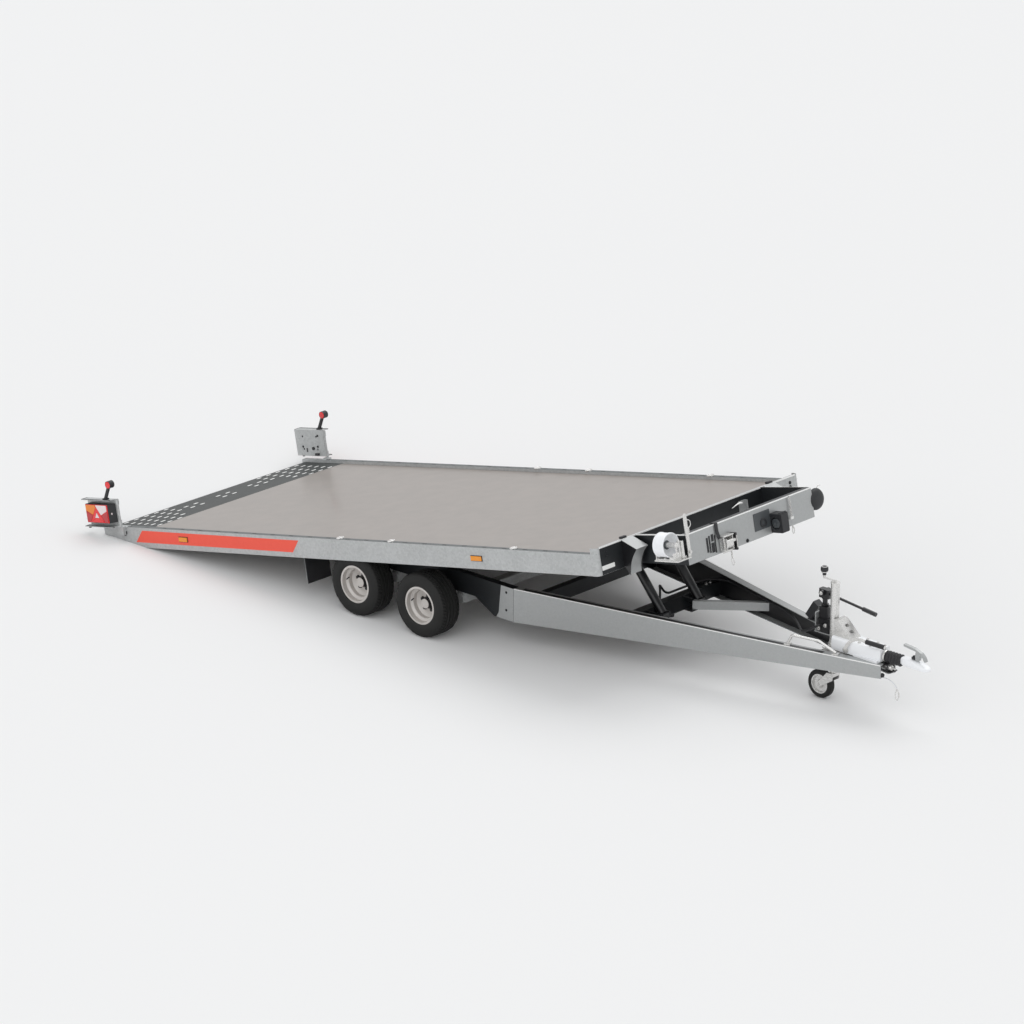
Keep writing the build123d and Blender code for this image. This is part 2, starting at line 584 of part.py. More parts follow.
CHASSIS_REAR = -CHASSIS_BEHIND
REAR_TOP = CHASSIS_TOP - CHASSIS_BEHIND * tan(TILT * pi / 180)


def chassis_side(wall):
    """Side outline of the chassis rail, drawn in by the wall at its top and underside."""
    return [(along(CHASSIS_REAR), CHASSIS_FOOT + wall),
            (along(SEAM_AHEAD - HAUNCH_LONG - HAUNCH_RAMP), CHASSIS_FOOT + wall),
            (along(SEAM_AHEAD - HAUNCH_LONG), SEAM_FOOT + wall), (SEAM_X, SEAM_FOOT + wall),
            (SEAM_X, CHASSIS_TOP - wall), (along(0), CHASSIS_TOP - wall),
            (along(CHASSIS_REAR), REAR_TOP - wall)]


with BuildPart() as chassis_rails:
    with BuildSketch(side_plane(-CHASSIS_HALF + CHASSIS_FLANGE)):
        with BuildLine():
            Polyline(*chassis_side(0), close=True)
        make_face()
    extrude(amount=CHASSIS_FLANGE)
    with BuildSketch(side_plane(-CHASSIS_HALF + CHASSIS_FLANGE)):
        with BuildLine():
            Polyline(*chassis_side(CHASSIS_WALL), close=True)
        make_face()
    extrude(amount=CHASSIS_FLANGE - CHASSIS_WALL, mode=Mode.SUBTRACT)
    with BuildSketch(side_plane(-CHASSIS_HALF + CHASSIS_FLANGE)):
        with Locations((along(0), TILT_SHAFT_Z)):
            Circle(TILT_SHAFT_R + RUNNING)
    extrude(amount=CHASSIS_FLANGE, mode=Mode.SUBTRACT)
    mirror(about=Plane.XZ)
write(chassis_rails, "chassis_rails")

SHAFT_HALF = CHASSIS_HALF + 8.0
with BuildPart() as tilt_shaft:
    with BuildSketch(Plane.XZ.offset(-SHAFT_HALF)):
        with Locations((along(0), TILT_SHAFT_Z)):
            Circle(TILT_SHAFT_R)
    extrude(amount=2 * SHAFT_HALF)
write(tilt_shaft, "tilt_shaft")

CROSS_HALF = CHASSIS_HALF - CHASSIS_WALL
CHASSIS_CROSS = ((SEAM_AHEAD - 60.0, SEAM_FOOT + DRAWBAR_WALL, 100.0),
                 (CHASSIS_REAR + 40.0, CHASSIS_FOOT + CHASSIS_WALL, REAR_TOP - CHASSIS_FOOT - 22.0))
with BuildPart() as chassis_crossmembers:
    for ahead, foot, high in CHASSIS_CROSS:
        with BuildSketch(Plane.XZ.offset(-CROSS_HALF)):
            with Locations((along(ahead), foot + high / 2)):
                Rectangle(CHASSIS_FLANGE, high)
                Rectangle(CHASSIS_FLANGE - 2 * SECTION_WALL, high - 2 * SECTION_WALL,
                          mode=Mode.SUBTRACT)
        extrude(amount=2 * CROSS_HALF)
write(chassis_crossmembers, "chassis_crossmembers")

# ---------------------------------------------------------------- axles
STUB_END = WHEEL_Y - RIM_WIDE / 2 + 60.0
ARM_IN = CHASSIS_HALF + 2.0
AXLES = {"front": along(FRONT_AXLE_AHEAD), "rear": along(-REAR_AXLE_BEHIND)}
with BuildPart() as axles:
    for wheel_x in AXLES.values():
        tube_x = wheel_x + AXLE_LEAD
        tube_z = CHASSIS_FOOT - AXLE_TUBE / 2
        with BuildSketch(Plane.XZ.offset(-ARM_IN)):
            with Locations((tube_x, tube_z)):
                RectangleRounded(AXLE_TUBE, AXLE_TUBE, AXLE_TUBE / 6)
        extrude(amount=2 * ARM_IN)
        for side in (-1, 1):
            arm_middle = side * (ARM_IN + AXLE_ARM_THICK / 2)
            with BuildSketch(Plane.XZ.offset(-arm_middle - AXLE_ARM_THICK / 2)):
                with BuildLine():
                    Polyline((tube_x + 10, tube_z + ARM_END_R), (wheel_x - 8, TYRE_R + ARM_TIP_R),
                             (wheel_x - 8, TYRE_R - ARM_TIP_R), (tube_x + 10, tube_z - ARM_END_R),
                             close=True)
                make_face()
                with Locations((tube_x + 6, tube_z)):
                    Circle(ARM_END_R + 2)
                with Locations((wheel_x, TYRE_R)):
                    Circle(ARM_TIP_R + 2)
            extrude(amount=AXLE_ARM_THICK)
            stub_end = STUB_END if side > 0 else -ARM_IN
            with BuildSketch(Plane.XZ.offset(-stub_end)):
                with Locations((wheel_x, TYRE_R)):
                    Circle(STUB_R)
            extrude(amount=STUB_END - ARM_IN)
write(axles, "axles")

# ---------------------------------------------------------------- wheels
LIP = RIM_WIDE / 2
BEAD = LIP - RIM_SHEET - SEAT_GAP
DISC_OUT = LIP - DISC_DEPTH
DISC_IN = DISC_OUT - RIM_SHEET


def wheel_plane(x, side):
    """Plane through a wheel's axle: its x is outwards along the axle, its y is up."""
    return Plane(origin=(x, side * WHEEL_Y, TYRE_R), x_dir=(0, side, 0), z_dir=(side, 0, 0))


def wheel_face(x, side, out):
    """Plane square to the axle, so far outside the wheel's middle, that looks outwards."""
    return Plane(origin=(x, side * (WHEEL_Y + out), TYRE_R), x_dir=(1, 0, 0), z_dir=(0, side, 0))


def build_wheel(tag, x, side):
    """A tyre and the steel wheel in it, with its brake drum, hub cap and wheel bolts."""
    axle_line = Axis((x, 0, TYRE_R), (0, 1, 0))
    half = TYRE_WIDE / 2
    with BuildPart() as tyre:
        with BuildSketch(wheel_plane(x, side)):
            with BuildLine():
                Line((-BEAD, RIM_SEAT_R + SEAT_GAP), (BEAD, RIM_SEAT_R + SEAT_GAP))
                Line((BEAD, RIM_SEAT_R + SEAT_GAP), (BEAD, RIM_FLANGE_R))
                ThreePointArc((BEAD, RIM_FLANGE_R), (half, (RIM_FLANGE_R + TYRE_R) / 2),
                              (TREAD_WIDE / 2, TYRE_R - 6))
                Polyline((TREAD_WIDE / 2, TYRE_R - 6), (TREAD_WIDE / 2 - 12, TYRE_R),
                         (-TREAD_WIDE / 2 + 12, TYRE_R), (-TREAD_WIDE / 2, TYRE_R - 6))
                ThreePointArc((-TREAD_WIDE / 2, TYRE_R - 6), (-half, (RIM_FLANGE_R + TYRE_R) / 2),
                              (-BEAD, RIM_FLANGE_R))
                Line((-BEAD, RIM_FLANGE_R), (-BEAD, RIM_SEAT_R + SEAT_GAP))
            make_face()
        revolve(axis=axle_line)
    write(tyre, f"tyre_{tag}")
    with BuildPart() as wheel:
        with BuildSketch(wheel_plane(x, side)):
            seat = RIM_SEAT_R - RIM_SHEET
            well = RIM_WELL_R - RIM_SHEET
            with BuildLine():
                Polyline((-LIP, RIM_FLANGE_R), (-LIP + RIM_SHEET, RIM_FLANGE_R),
                         (-LIP + RIM_SHEET, RIM_SEAT_R), (-50, RIM_SEAT_R), (-38, RIM_WELL_R),
                         (38, RIM_WELL_R), (50, RIM_SEAT_R), (LIP - RIM_SHEET, RIM_SEAT_R),
                         (LIP - RIM_SHEET, RIM_FLANGE_R), (LIP, RIM_FLANGE_R), (LIP, seat),
                         (47, seat), (35, well), (-35, well), (-47, seat), (-LIP, seat), close=True)
            make_face()
            with BuildLine():
                Polyline((DISC_IN, HUB_R - 1), (DISC_IN, 78), (DISC_IN + 16, RIM_WELL_R - 1),
                         (DISC_OUT + 16, RIM_WELL_R - 1), (DISC_OUT, 78), (DISC_OUT, HUB_R - 1),
                         close=True)
            make_face()
        revolve(axis=axle_line)
        with BuildSketch(wheel_plane(x, side)):
            with BuildLine():
                Polyline((DISC_IN - DRUM_WIDE, STUB_R + RUNNING), (DISC_IN - DRUM_WIDE, DRUM_R),
                         (DISC_IN, DRUM_R), (DISC_IN, HUB_R), (DISC_OUT + 30, HUB_R),
                         (DISC_OUT + 38, HUB_R - 8), (DISC_OUT + 38, 0), (DISC_OUT + 34, 0),
                         (DISC_OUT + 34, HUB_R - 10), (DISC_IN - 4, HUB_R - 10),
                         (DISC_IN - 4, STUB_R + RUNNING), close=True)
            make_face()
        revolve(axis=axle_line)
        with BuildSketch(wheel_face(x, side, DISC_OUT)):
            with PolarLocations(BOLT_CIRCLE / 2, BOLT_COUNT, start_angle=90):
                RegularPolygon(BOLT_HEAD_R, 6)
        extrude(amount=BOLT_HEAD_HIGH)
    write(wheel, f"wheel_{tag}")


for axle_name, axle_x in AXLES.items():
    for side_name, side in (("right", -1), ("left", 1)):
        build_wheel(f"{axle_name}_{side_name}", axle_x, side)

# ---------------------------------------------------------------- lifting gear
LIFT_X = along(LIFT_BEAM_AHEAD)
CYL_FOOT_X = along(CYL_FOOT_AHEAD)
LIFT_FACE = LIFT_X + LIFT_BEAM_WIDE / 2
LIFT_FOOT = LIFT_BEAM_TOP - LIFT_BEAM_DEPTH
EAR_GAP = CYL_FOOT_WIDE / 2 + SIDE_GAP
PLATE_HALF = CYL_Y - EAR_GAP - EAR_THICK
PLATE_X = along(LIFT_PLATE_AHEAD)
PLATE_Z = LIFT_BEAM_TOP - LIFT_PLATE_FALL
TOE_X = CYL_FOOT_X + 40.0
TOE_Y = 55.0             # inner end of the plate's toe, which carries the brace
with BuildPart() as lift_crossmember:
    with BuildSketch(Plane.XZ):
        with Locations((LIFT_X, LIFT_BEAM_TOP - LIFT_BEAM_DEPTH / 2)):
            Rectangle(LIFT_BEAM_WIDE, LIFT_BEAM_DEPTH)
            Rectangle(LIFT_BEAM_WIDE - 2 * SECTION_WALL, LIFT_BEAM_DEPTH - 2 * SECTION_WALL,
                      mode=Mode.SUBTRACT)
    extrude(amount=CHASSIS_HALF)
    split(bisect_by=drawbar_plane(DRAWBAR_WALL + SEAT_GAP), keep=Keep.BOTTOM)
    for ear in (-1, 1):
        middle = -CYL_Y + ear * (EAR_GAP + EAR_THICK / 2)
        with BuildSketch(Plane.XZ.offset(-middle - EAR_THICK / 2)):
            with BuildLine():
                Polyline((LIFT_FACE, LIFT_BEAM_TOP), (CYL_FOOT_X + 10, CYL_FOOT_Z + 24),
                         (CYL_FOOT_X + 26, CYL_FOOT_Z), (CYL_FOOT_X + 10, CYL_FOOT_Z - 26),
                         (LIFT_FACE, LIFT_FOOT), close=True)
            make_face()
        extrude(amount=EAR_THICK)
    with BuildSketch(Plane.XZ.offset(CYL_Y - EAR_GAP - EAR_THICK)):
        with Locations((CYL_FOOT_X, CYL_FOOT_Z)):
            Circle(CYL_PIN_R)
    extrude(amount=2 * (EAR_GAP + EAR_THICK))
    with BuildSketch(Plane.XZ):
        with BuildLine():
            Polyline((LIFT_FACE, LIFT_BEAM_TOP), (PLATE_X, PLATE_Z), (PLATE_X, PLATE_Z - LIFT_PLATE),
                     (LIFT_FACE, LIFT_BEAM_TOP - LIFT_PLATE - 1), close=True)
        make_face()
    extrude(amount=PLATE_HALF)
    mirror(about=Plane.XZ)
    with BuildSketch(Plane.XY.offset(PLATE_Z - LIFT_PLATE)):
        with Locations(((PLATE_X - 3 + TOE_X) / 2, (TOE_Y + PLATE_HALF) / 2)):
            Rectangle(TOE_X - PLATE_X + 3, PLATE_HALF - TOE_Y)
    extrude(amount=LIFT_PLATE)
write(lift_crossmember, "lift_crossmember")

BRACE_X = CYL_FOOT_X + 8.0
BRACE_Y = 100.0
BRACE_END_Y = drawbar_half(BRACE_AHEAD)
BRACE_RUN = atan2(BRACE_END_Y - BRACE_Y, along(BRACE_AHEAD) - BRACE_X)
with BuildPart() as drawbar_brace:
    with BuildSketch(Plane.XY.offset(PLATE_Z)):
        with Locations(Location((BRACE_X, BRACE_Y, 0), (0, 0, degrees(BRACE_RUN)))):
            Rectangle(BRACE_AHEAD - CYL_FOOT_AHEAD + 120.0, BRACE_WIDE,
                      align=(Align.MIN, Align.CENTER))
    extrude(amount=BRACE_HIGH)
    split(bisect_by=Plane.YZ.offset(BRACE_X), keep=Keep.TOP)
    split(bisect_by=mirrored(drawbar_plane(DRAWBAR_WALL + SEAT_GAP)), keep=Keep.BOTTOM)
write(drawbar_brace, "drawbar_brace")


def bed_to_world(u, n):
    """World x and z, at the parked tilt, of a place in the bed's frame."""
    return along(u * COS_T - n * SIN_T), TILT_SHAFT_Z + u * SIN_T + n * COS_T


HEAD_X, HEAD_Z = bed_to_world(CYL_HEAD_AHEAD, CYL_HEAD_UP)
PARKED_LONG = hypot(HEAD_X - CYL_FOOT_X, HEAD_Z - CYL_FOOT_Z)
LEVEL_LONG = hypot(CYL_HEAD_AHEAD - CYL_FOOT_AHEAD, TILT_SHAFT_Z + CYL_HEAD_UP - CYL_FOOT_Z)
CYL_LONG = LEVEL_LONG - CYL_EYE_R - 8.0        # barrel's mouth from its lower pin
CYL_ANGLE = degrees(atan2(HEAD_X - CYL_FOOT_X, HEAD_Z - CYL_FOOT_Z))


def cylinder_plane(y):
    """Plane through a cylinder's axis: its y runs from the lower pin to the upper one."""
    lean = CYL_ANGLE * pi / 180
    return Plane(origin=(CYL_FOOT_X, y, CYL_FOOT_Z), x_dir=(cos(lean), 0, -sin(lean)), z_dir=(0, -1, 0))


def cylinder_axis(y):
    """Line of a cylinder's axis."""
    lean = CYL_ANGLE * pi / 180
    return Axis((CYL_FOOT_X, y, CYL_FOOT_Z), (sin(lean), 0, cos(lean)))


with BuildPart() as cylinder_barrels:
    for side in (-1, 1):
        y = side * CYL_Y
        with BuildSketch(cylinder_plane(y)):
            with BuildLine():
                Polyline((0, CYL_EYE_R - 6), (CYL_R - 0.5, CYL_EYE_R - 6), (CYL_R - 0.5, CYL_LONG),
                         (CYL_ROD_R + RUNNING, CYL_LONG), (CYL_ROD_R + RUNNING, CYL_EYE_R + 14),
                         (0, CYL_EYE_R + 14), close=True)
            make_face()
        revolve(axis=cylinder_axis(y))
        with BuildSketch(Plane.XZ.offset(-y - CYL_FOOT_WIDE / 2)):
            with Locations((CYL_FOOT_X, CYL_FOOT_Z)):
                Circle(CYL_EYE_R)
        extrude(amount=CYL_FOOT_WIDE)
        with BuildSketch(Plane.XZ.offset(-y - CYL_FOOT_WIDE)):
            with Locations((CYL_FOOT_X, CYL_FOOT_Z)):
                Circle(CYL_PIN_R + RUNNING)
        extrude(amount=2 * CYL_FOOT_WIDE, mode=Mode.SUBTRACT)
write(cylinder_barrels, "cylinder_barrels")

ROD_LONG = LEVEL_LONG - CYL_EYE_R - 24.0       # rod from its eye's middle to its inner end
with BuildPart() as cylinder_rods:
    for side in (-1, 1):
        y = side * CYL_Y
        with BuildSketch(cylinder_plane(y)):
            with BuildLine():
                Polyline((0, PARKED_LONG - ROD_LONG), (CYL_ROD_R, PARKED_LONG - ROD_LONG),
                         (CYL_ROD_R, PARKED_LONG - 4), (0, PARKED_LONG - 4), close=True)
            make_face()
        revolve(axis=cylinder_axis(y))
        with BuildSketch(Plane.XZ.offset(-y - CYL_EYE_WIDE / 2)):
            with Locations((HEAD_X, HEAD_Z)):
                Circle(CYL_EYE_R)
        extrude(amount=CYL_EYE_WIDE)
write(cylinder_rods, "cylinder_rods")

# ---------------------------------------------------------------- drawbar nose
HOUSING_X = along(HOUSING_AHEAD)
HOUSING_FRONT = HOUSING_X + HOUSING_LONG
HOUSING_REAR = along(MAST_AHEAD) + MAST_R + SIDE_GAP
HOUSING_TAPER = HOUSING_X + 190.0
HOUSING_FOOT = drawbar_top(HOUSING_AHEAD)
with BuildPart() as overrun_housing:
    with BuildSketch(Plane.XY.offset(HOUSING_FOOT)):
        with BuildLine():
            Polyline((HOUSING_REAR, -HOUSING_WIDE / 2), (HOUSING_TAPER, -HOUSING_WIDE / 2),
                     (HOUSING_FRONT, -HOUSING_NOSE_WIDE / 2), (HOUSING_FRONT, HOUSING_NOSE_WIDE / 2),
                     (HOUSING_TAPER, HOUSING_WIDE / 2), (HOUSING_REAR, HOUSING_WIDE / 2),
                     close=True)
        make_face()
    extrude(amount=HOUSING_HIGH)
    fillet(overrun_housing.edges().filter_by(Axis.X, tolerance=15).group_by(Axis.Z)[-1], 18)
    base_front = HOUSING_AHEAD + HOUSING_LONG - 10.0
    with BuildSketch(Plane.XZ):
        with BuildLine():
            Polyline((along(BASE_AHEAD), drawbar_top(BASE_AHEAD) + TOUCH_GAP),
                     (along(base_front), drawbar_top(base_front) + TOUCH_GAP),
                     (along(base_front), HOUSING_FOOT + HOUSING_BASE),
                     (along(BASE_AHEAD), HOUSING_FOOT + HOUSING_BASE), close=True)
        make_face()
    extrude(amount=HOUSING_WIDE / 2, both=True)
    with BuildSketch(Plane.YZ.offset(HOUSING_REAR)):
        with Locations((0, DRAW_Z)):
            Circle(DRAW_R + RUNNING)
    extrude(amount=HOUSING_LONG, mode=Mode.SUBTRACT)
write(overrun_housing, "overrun_housing")

BELLOWS_X = HOUSING_FRONT
with BuildPart() as drawbar_bellows:
    pitch = BELLOWS_LONG / BELLOWS_FOLDS
    with BuildSketch(Plane(origin=(BELLOWS_X, 0, DRAW_Z), x_dir=(1, 0, 0), z_dir=(0, -1, 0))):
        with BuildLine():
            folds = [(0, DRAW_R + RUNNING)]
            for k in range(BELLOWS_FOLDS):
                folds += [(k * pitch + 1, BELLOWS_R - 9), (k * pitch + pitch / 2, BELLOWS_R)]
            folds += [(BELLOWS_LONG - 1, BELLOWS_R - 9), (BELLOWS_LONG - 1, DRAW_R + RUNNING)]
            Polyline(*folds, close=True)
        make_face()
    revolve(axis=Axis((0, 0, DRAW_Z), (1, 0, 0)))
write(drawbar_bellows, "drawbar_bellows")

COUPLING_X = along(COUPLING_AHEAD)
BALL_X = COUPLING_X + COUPLING_LONG - COUPLING_HALF - 4.0
with BuildPart() as coupling_head:
    with BuildSketch(Plane.YZ.offset(HOUSING_X + 60.0)):
        with Locations((0, DRAW_Z)):
            Circle(DRAW_R)
    extrude(amount=COUPLING_X - HOUSING_X - 60.0 + 30.0)
    with BuildSketch(Plane.XY.offset(DRAW_Z - HEAD_DROP)):
        with BuildLine():
            Polyline((COUPLING_X, -30), (BALL_X, -COUPLING_HALF - 4.0))
            ThreePointArc((BALL_X, -COUPLING_HALF - 4.0), (BALL_X + COUPLING_HALF + 4.0, 0),
                          (BALL_X, COUPLING_HALF + 4.0))
            Polyline((BALL_X, COUPLING_HALF + 4.0), (COUPLING_X, 30), (COUPLING_X, -30))
        make_face()
    extrude(amount=HEAD_HIGH)
    fillet(coupling_head.faces().sort_by(Axis.Z)[-1].edges(), 14)
    with BuildSketch(Plane.XY.offset(DRAW_Z - HEAD_DROP)):
        with Locations((BALL_X, 0)):
            Circle(BALL_R + RUNNING)
    extrude(amount=30.0, mode=Mode.SUBTRACT)
write(coupling_head, "coupling_head")

LATCH_FOOT = DRAW_Z + HEAD_HIGH - HEAD_DROP + TOUCH_GAP / 2
with BuildPart() as coupling_handle:
    with BuildSketch(Plane.XZ.offset(-LATCH_WIDE / 2)):
        with BuildLine():
            Polyline((along(3812), LATCH_FOOT + 88), (along(3905), LATCH_FOOT + 77),
                     (along(3958), LATCH_FOOT + 57), (along(3984), LATCH_FOOT + 34),
                     (along(3998), LATCH_FOOT + 6), (along(3984), LATCH_FOOT + 3),
                     (along(3972), LATCH_FOOT + 26), (along(3950), LATCH_FOOT + 42),
                     (along(3940), LATCH_FOOT), (along(3908), LATCH_FOOT),
                     (along(3912), LATCH_FOOT + 60), (along(3812), LATCH_FOOT + 73), close=True)
        make_face()
    extrude(amount=LATCH_WIDE)
write(coupling_handle, "coupling_handle")

CABLE_POINTS = [(along(3630), -70, 306.1), (along(3685), -60, 308.3), (along(3735), -55, 304),
                (along(3775), -52, 285), (along(3798), -50, 255)]
with BuildPart() as breakaway_cable:
    with BuildLine() as cable_line:
        FilletPolyline(*CABLE_POINTS, radius=tube_bends(CABLE_POINTS))
    with BuildSketch(Plane(origin=cable_line.line @ 0, z_dir=cable_line.line % 0)):
        Circle(CABLE_R)
    sweep()
print("breakaway cable bends, mm:", [round(bend) for bend in tube_bends(CABLE_POINTS)])
write(breakaway_cable, "breakaway_cable")

with BuildPart() as breakaway_hook:
    with BuildSketch(Plane.XZ.offset(-CABLE_POINTS[-1][1] - HOOK_THICK / 2)):
        with Locations((CABLE_POINTS[-1][0], CABLE_POINTS[-1][2] - 2.0 - HOOK_LONG / 2)):
            SlotOverall(HOOK_LONG, HOOK_WIDE, rotation=90)
            SlotOverall(HOOK_LONG - 2 * HOOK_THICK, HOOK_WIDE - 2 * HOOK_THICK, rotation=90,
                        mode=Mode.SUBTRACT)
    extrude(amount=HOOK_THICK)
write(breakaway_hook, "breakaway_hook")

# ---------------------------------------------------------------- jockey wheel
MAST_X = along(MAST_AHEAD)
with BuildPart() as jockey_mast:
    with BuildSketch(Plane.XY.offset(MAST_FOOT)):
        with Locations((MAST_X, 0)):
            Circle(MAST_R)
            Circle(STEM_R + RUNNING, mode=Mode.SUBTRACT)
    extrude(amount=MAST_TOP - MAST_FOOT)
    with BuildSketch(Plane.XY.offset(MAST_TOP)):
        with Locations((MAST_X, 0)):
            Circle(MAST_R + 3)
    extrude(amount=6)
write(jockey_mast, "jockey_mast")

with BuildPart() as mast_bracket:
    with BuildSketch(Plane.XY.offset(MAST_FOOT + 4.0)):
        with Locations((MAST_X, -CHASSIS_HALF / 2)):
            Rectangle(2 * MAST_R + 24.0, CHASSIS_HALF)
    extrude(amount=BRACKET_HIGH)
    split(bisect_by=drawbar_plane(DRAWBAR_WALL + SEAT_GAP), keep=Keep.BOTTOM)
    mirror(about=Plane.XZ)
    with BuildSketch(Plane.XY.offset(MAST_FOOT)):
        with Locations((MAST_X, 0)):
            Circle(MAST_R + SEAT_GAP)
    extrude(amount=2 * BRACKET_HIGH, mode=Mode.SUBTRACT)
write(mast_bracket, "mast_bracket")

with BuildPart() as jockey_crank:
    with BuildSketch(Plane.XY.offset(MAST_TOP + 6.0)):
        with Locations((MAST_X, 0)):
            Circle(8)
    extrude(amount=16)
    with BuildSketch(Plane.XY.offset(MAST_TOP + 12.0)):
        with Locations((MAST_X - CRANK_TURN / 2, 0)):
            SlotOverall(CRANK_TURN + 16, 12)
    extrude(amount=8)
    with BuildSketch(Plane.XY.offset(MAST_TOP + 20.0)):
        with Locations((MAST_X - CRANK_TURN, 0)):
            Circle(9)
    extrude(amount=40)
    with BuildSketch(Plane.XY.offset(MAST_TOP + 55.0)):
        with Locations((MAST_X - CRANK_TURN, 0)):
            Circle(21)
    extrude(amount=40)
write(jockey_crank, "jockey_crank")

with BuildPart() as jockey_stem:
    with BuildSketch(Plane.XY.offset(STEM_FOOT)):
        with Locations((MAST_X, 0)):
            Circle(STEM_R)
    extrude(amount=STEM_TOP - STEM_FOOT)
write(jockey_stem, "jockey_stem")

JOCKEY_X = MAST_X - JOCKEY_TRAIL
FORK_GAP = JOCKEY_WIDE + 2 * SIDE_GAP
with BuildPart() as jockey_fork:
    with BuildSketch(Plane.XY.offset(STEM_FOOT - 24.0 - 0.5)):
        with Locations((MAST_X + 4, 0)):
            RectangleRounded(44, FORK_GAP + 12, 8)
    extrude(amount=24.0)
    for ear in (-1, 1):
        with BuildSketch(Plane.XZ.offset(-ear * (FORK_GAP / 2 + 3) - 3)):
            with BuildLine():
                Polyline((MAST_X + 26, STEM_FOOT - 2), (MAST_X + 20, STEM_FOOT - 50),
                         (JOCKEY_X, JOCKEY_R - 20), (JOCKEY_X, JOCKEY_R + 20),
                         (MAST_X - 26, STEM_FOOT - 2), close=True)
            make_face()
            with Locations((JOCKEY_X, JOCKEY_R)):
                Circle(20)
        extrude(amount=6)
    with BuildSketch(Plane.XZ.offset(-FORK_GAP / 2 - 6)):
        with Locations((JOCKEY_X, JOCKEY_R)):
            Circle(9)
    extrude(amount=FORK_GAP + 12)
write(jockey_fork, "jockey_fork")

with BuildPart() as jockey_tyre:
    with BuildSketch(Plane(origin=(JOCKEY_X, 0, JOCKEY_R), x_dir=(0, 1, 0), z_dir=(1, 0, 0))):
        with BuildLine():
            half = JOCKEY_WIDE / 2
            Line((-half + 4, JOCKEY_RIM_R + SEAT_GAP), (half - 4, JOCKEY_RIM_R + SEAT_GAP))
            ThreePointArc((half - 4, JOCKEY_RIM_R + SEAT_GAP), (half, (JOCKEY_RIM_R + JOCKEY_R) / 2),
                          (half - 12, JOCKEY_R))
            Line((half - 12, JOCKEY_R), (-half + 12, JOCKEY_R))
            ThreePointArc((-half + 12, JOCKEY_R), (-half, (JOCKEY_RIM_R + JOCKEY_R) / 2),
                          (-half + 4, JOCKEY_RIM_R + SEAT_GAP))
        make_face()
    revolve(axis=Axis((JOCKEY_X, 0, JOCKEY_R), (0, 1, 0)))
write(jockey_tyre, "jockey_tyre")

with BuildPart() as jockey_rim:
    with BuildSketch(Plane(origin=(JOCKEY_X, 0, JOCKEY_R), x_dir=(0, 1, 0), z_dir=(1, 0, 0))):
        half = JOCKEY_WIDE / 2
        with BuildLine():
            Polyline((-half, 9 + RUNNING), (-half, 24), (-10, 30), (-10, JOCKEY_RIM_R - 14),
                     (-half + 4, JOCKEY_RIM_R - 8), (-half + 4, JOCKEY_RIM_R),
                     (half - 4, JOCKEY_RIM_R), (half - 4, JOCKEY_RIM_R - 8), (10, JOCKEY_RIM_R - 14),
                     (10, 30), (half, 24), (half, 9 + RUNNING), close=True)
        make_face()
    revolve(axis=Axis((JOCKEY_X, 0, JOCKEY_R), (0, 1, 0)))
write(jockey_rim, "jockey_rim")

# ---------------------------------------------------------------- fittings of the drawbar
HOUSING_TOP = HOUSING_FOOT + HOUSING_HIGH
with BuildPart() as plug_bracket:
    with BuildSketch(Plane.XZ.offset(-WEDGE_WIDE / 2)):
        with BuildLine():
            Polyline((HOUSING_REAR, HOUSING_TOP), (HOUSING_REAR, WEDGE_TOP),
                     (HOUSING_REAR + WEDGE_FLAT, WEDGE_TOP), (HOUSING_REAR + WEDGE_LONG, HOUSING_TOP),
                     close=True)
        make_face()
    extrude(amount=WEDGE_WIDE)
    with BuildSketch(Plane.XZ.offset(-WEDGE_WIDE / 2 + WEDGE_SHEET)):
        with BuildLine():
            Polyline((HOUSING_REAR, HOUSING_TOP), (HOUSING_REAR, WEDGE_TOP - WEDGE_SHEET),
                     (HOUSING_REAR + WEDGE_FLAT - 2, WEDGE_TOP - WEDGE_SHEET),
                     (HOUSING_REAR + WEDGE_LONG - 2 * WEDGE_SHEET, HOUSING_TOP), close=True)
        make_face()
    extrude(amount=WEDGE_WIDE - 2 * WEDGE_SHEET, mode=Mode.SUBTRACT)
    wedge_run = Vector(WEDGE_LONG - WEDGE_FLAT, 0, HOUSING_TOP - WEDGE_TOP)
    wedge_out = Vector(-wedge_run.Z, 0, wedge_run.X)
    with BuildSketch(Plane(origin=Vector(HOUSING_REAR + WEDGE_FLAT, 0, WEDGE_TOP) + wedge_run * 0.5,
                           x_dir=wedge_run, z_dir=wedge_out)):
        with GridLocations(52, 1, 2, 1):
            Rectangle(22, 34)
    extrude(amount=-2 * WEDGE_SHEET, mode=Mode.SUBTRACT)
write(plug_bracket, "plug_bracket")

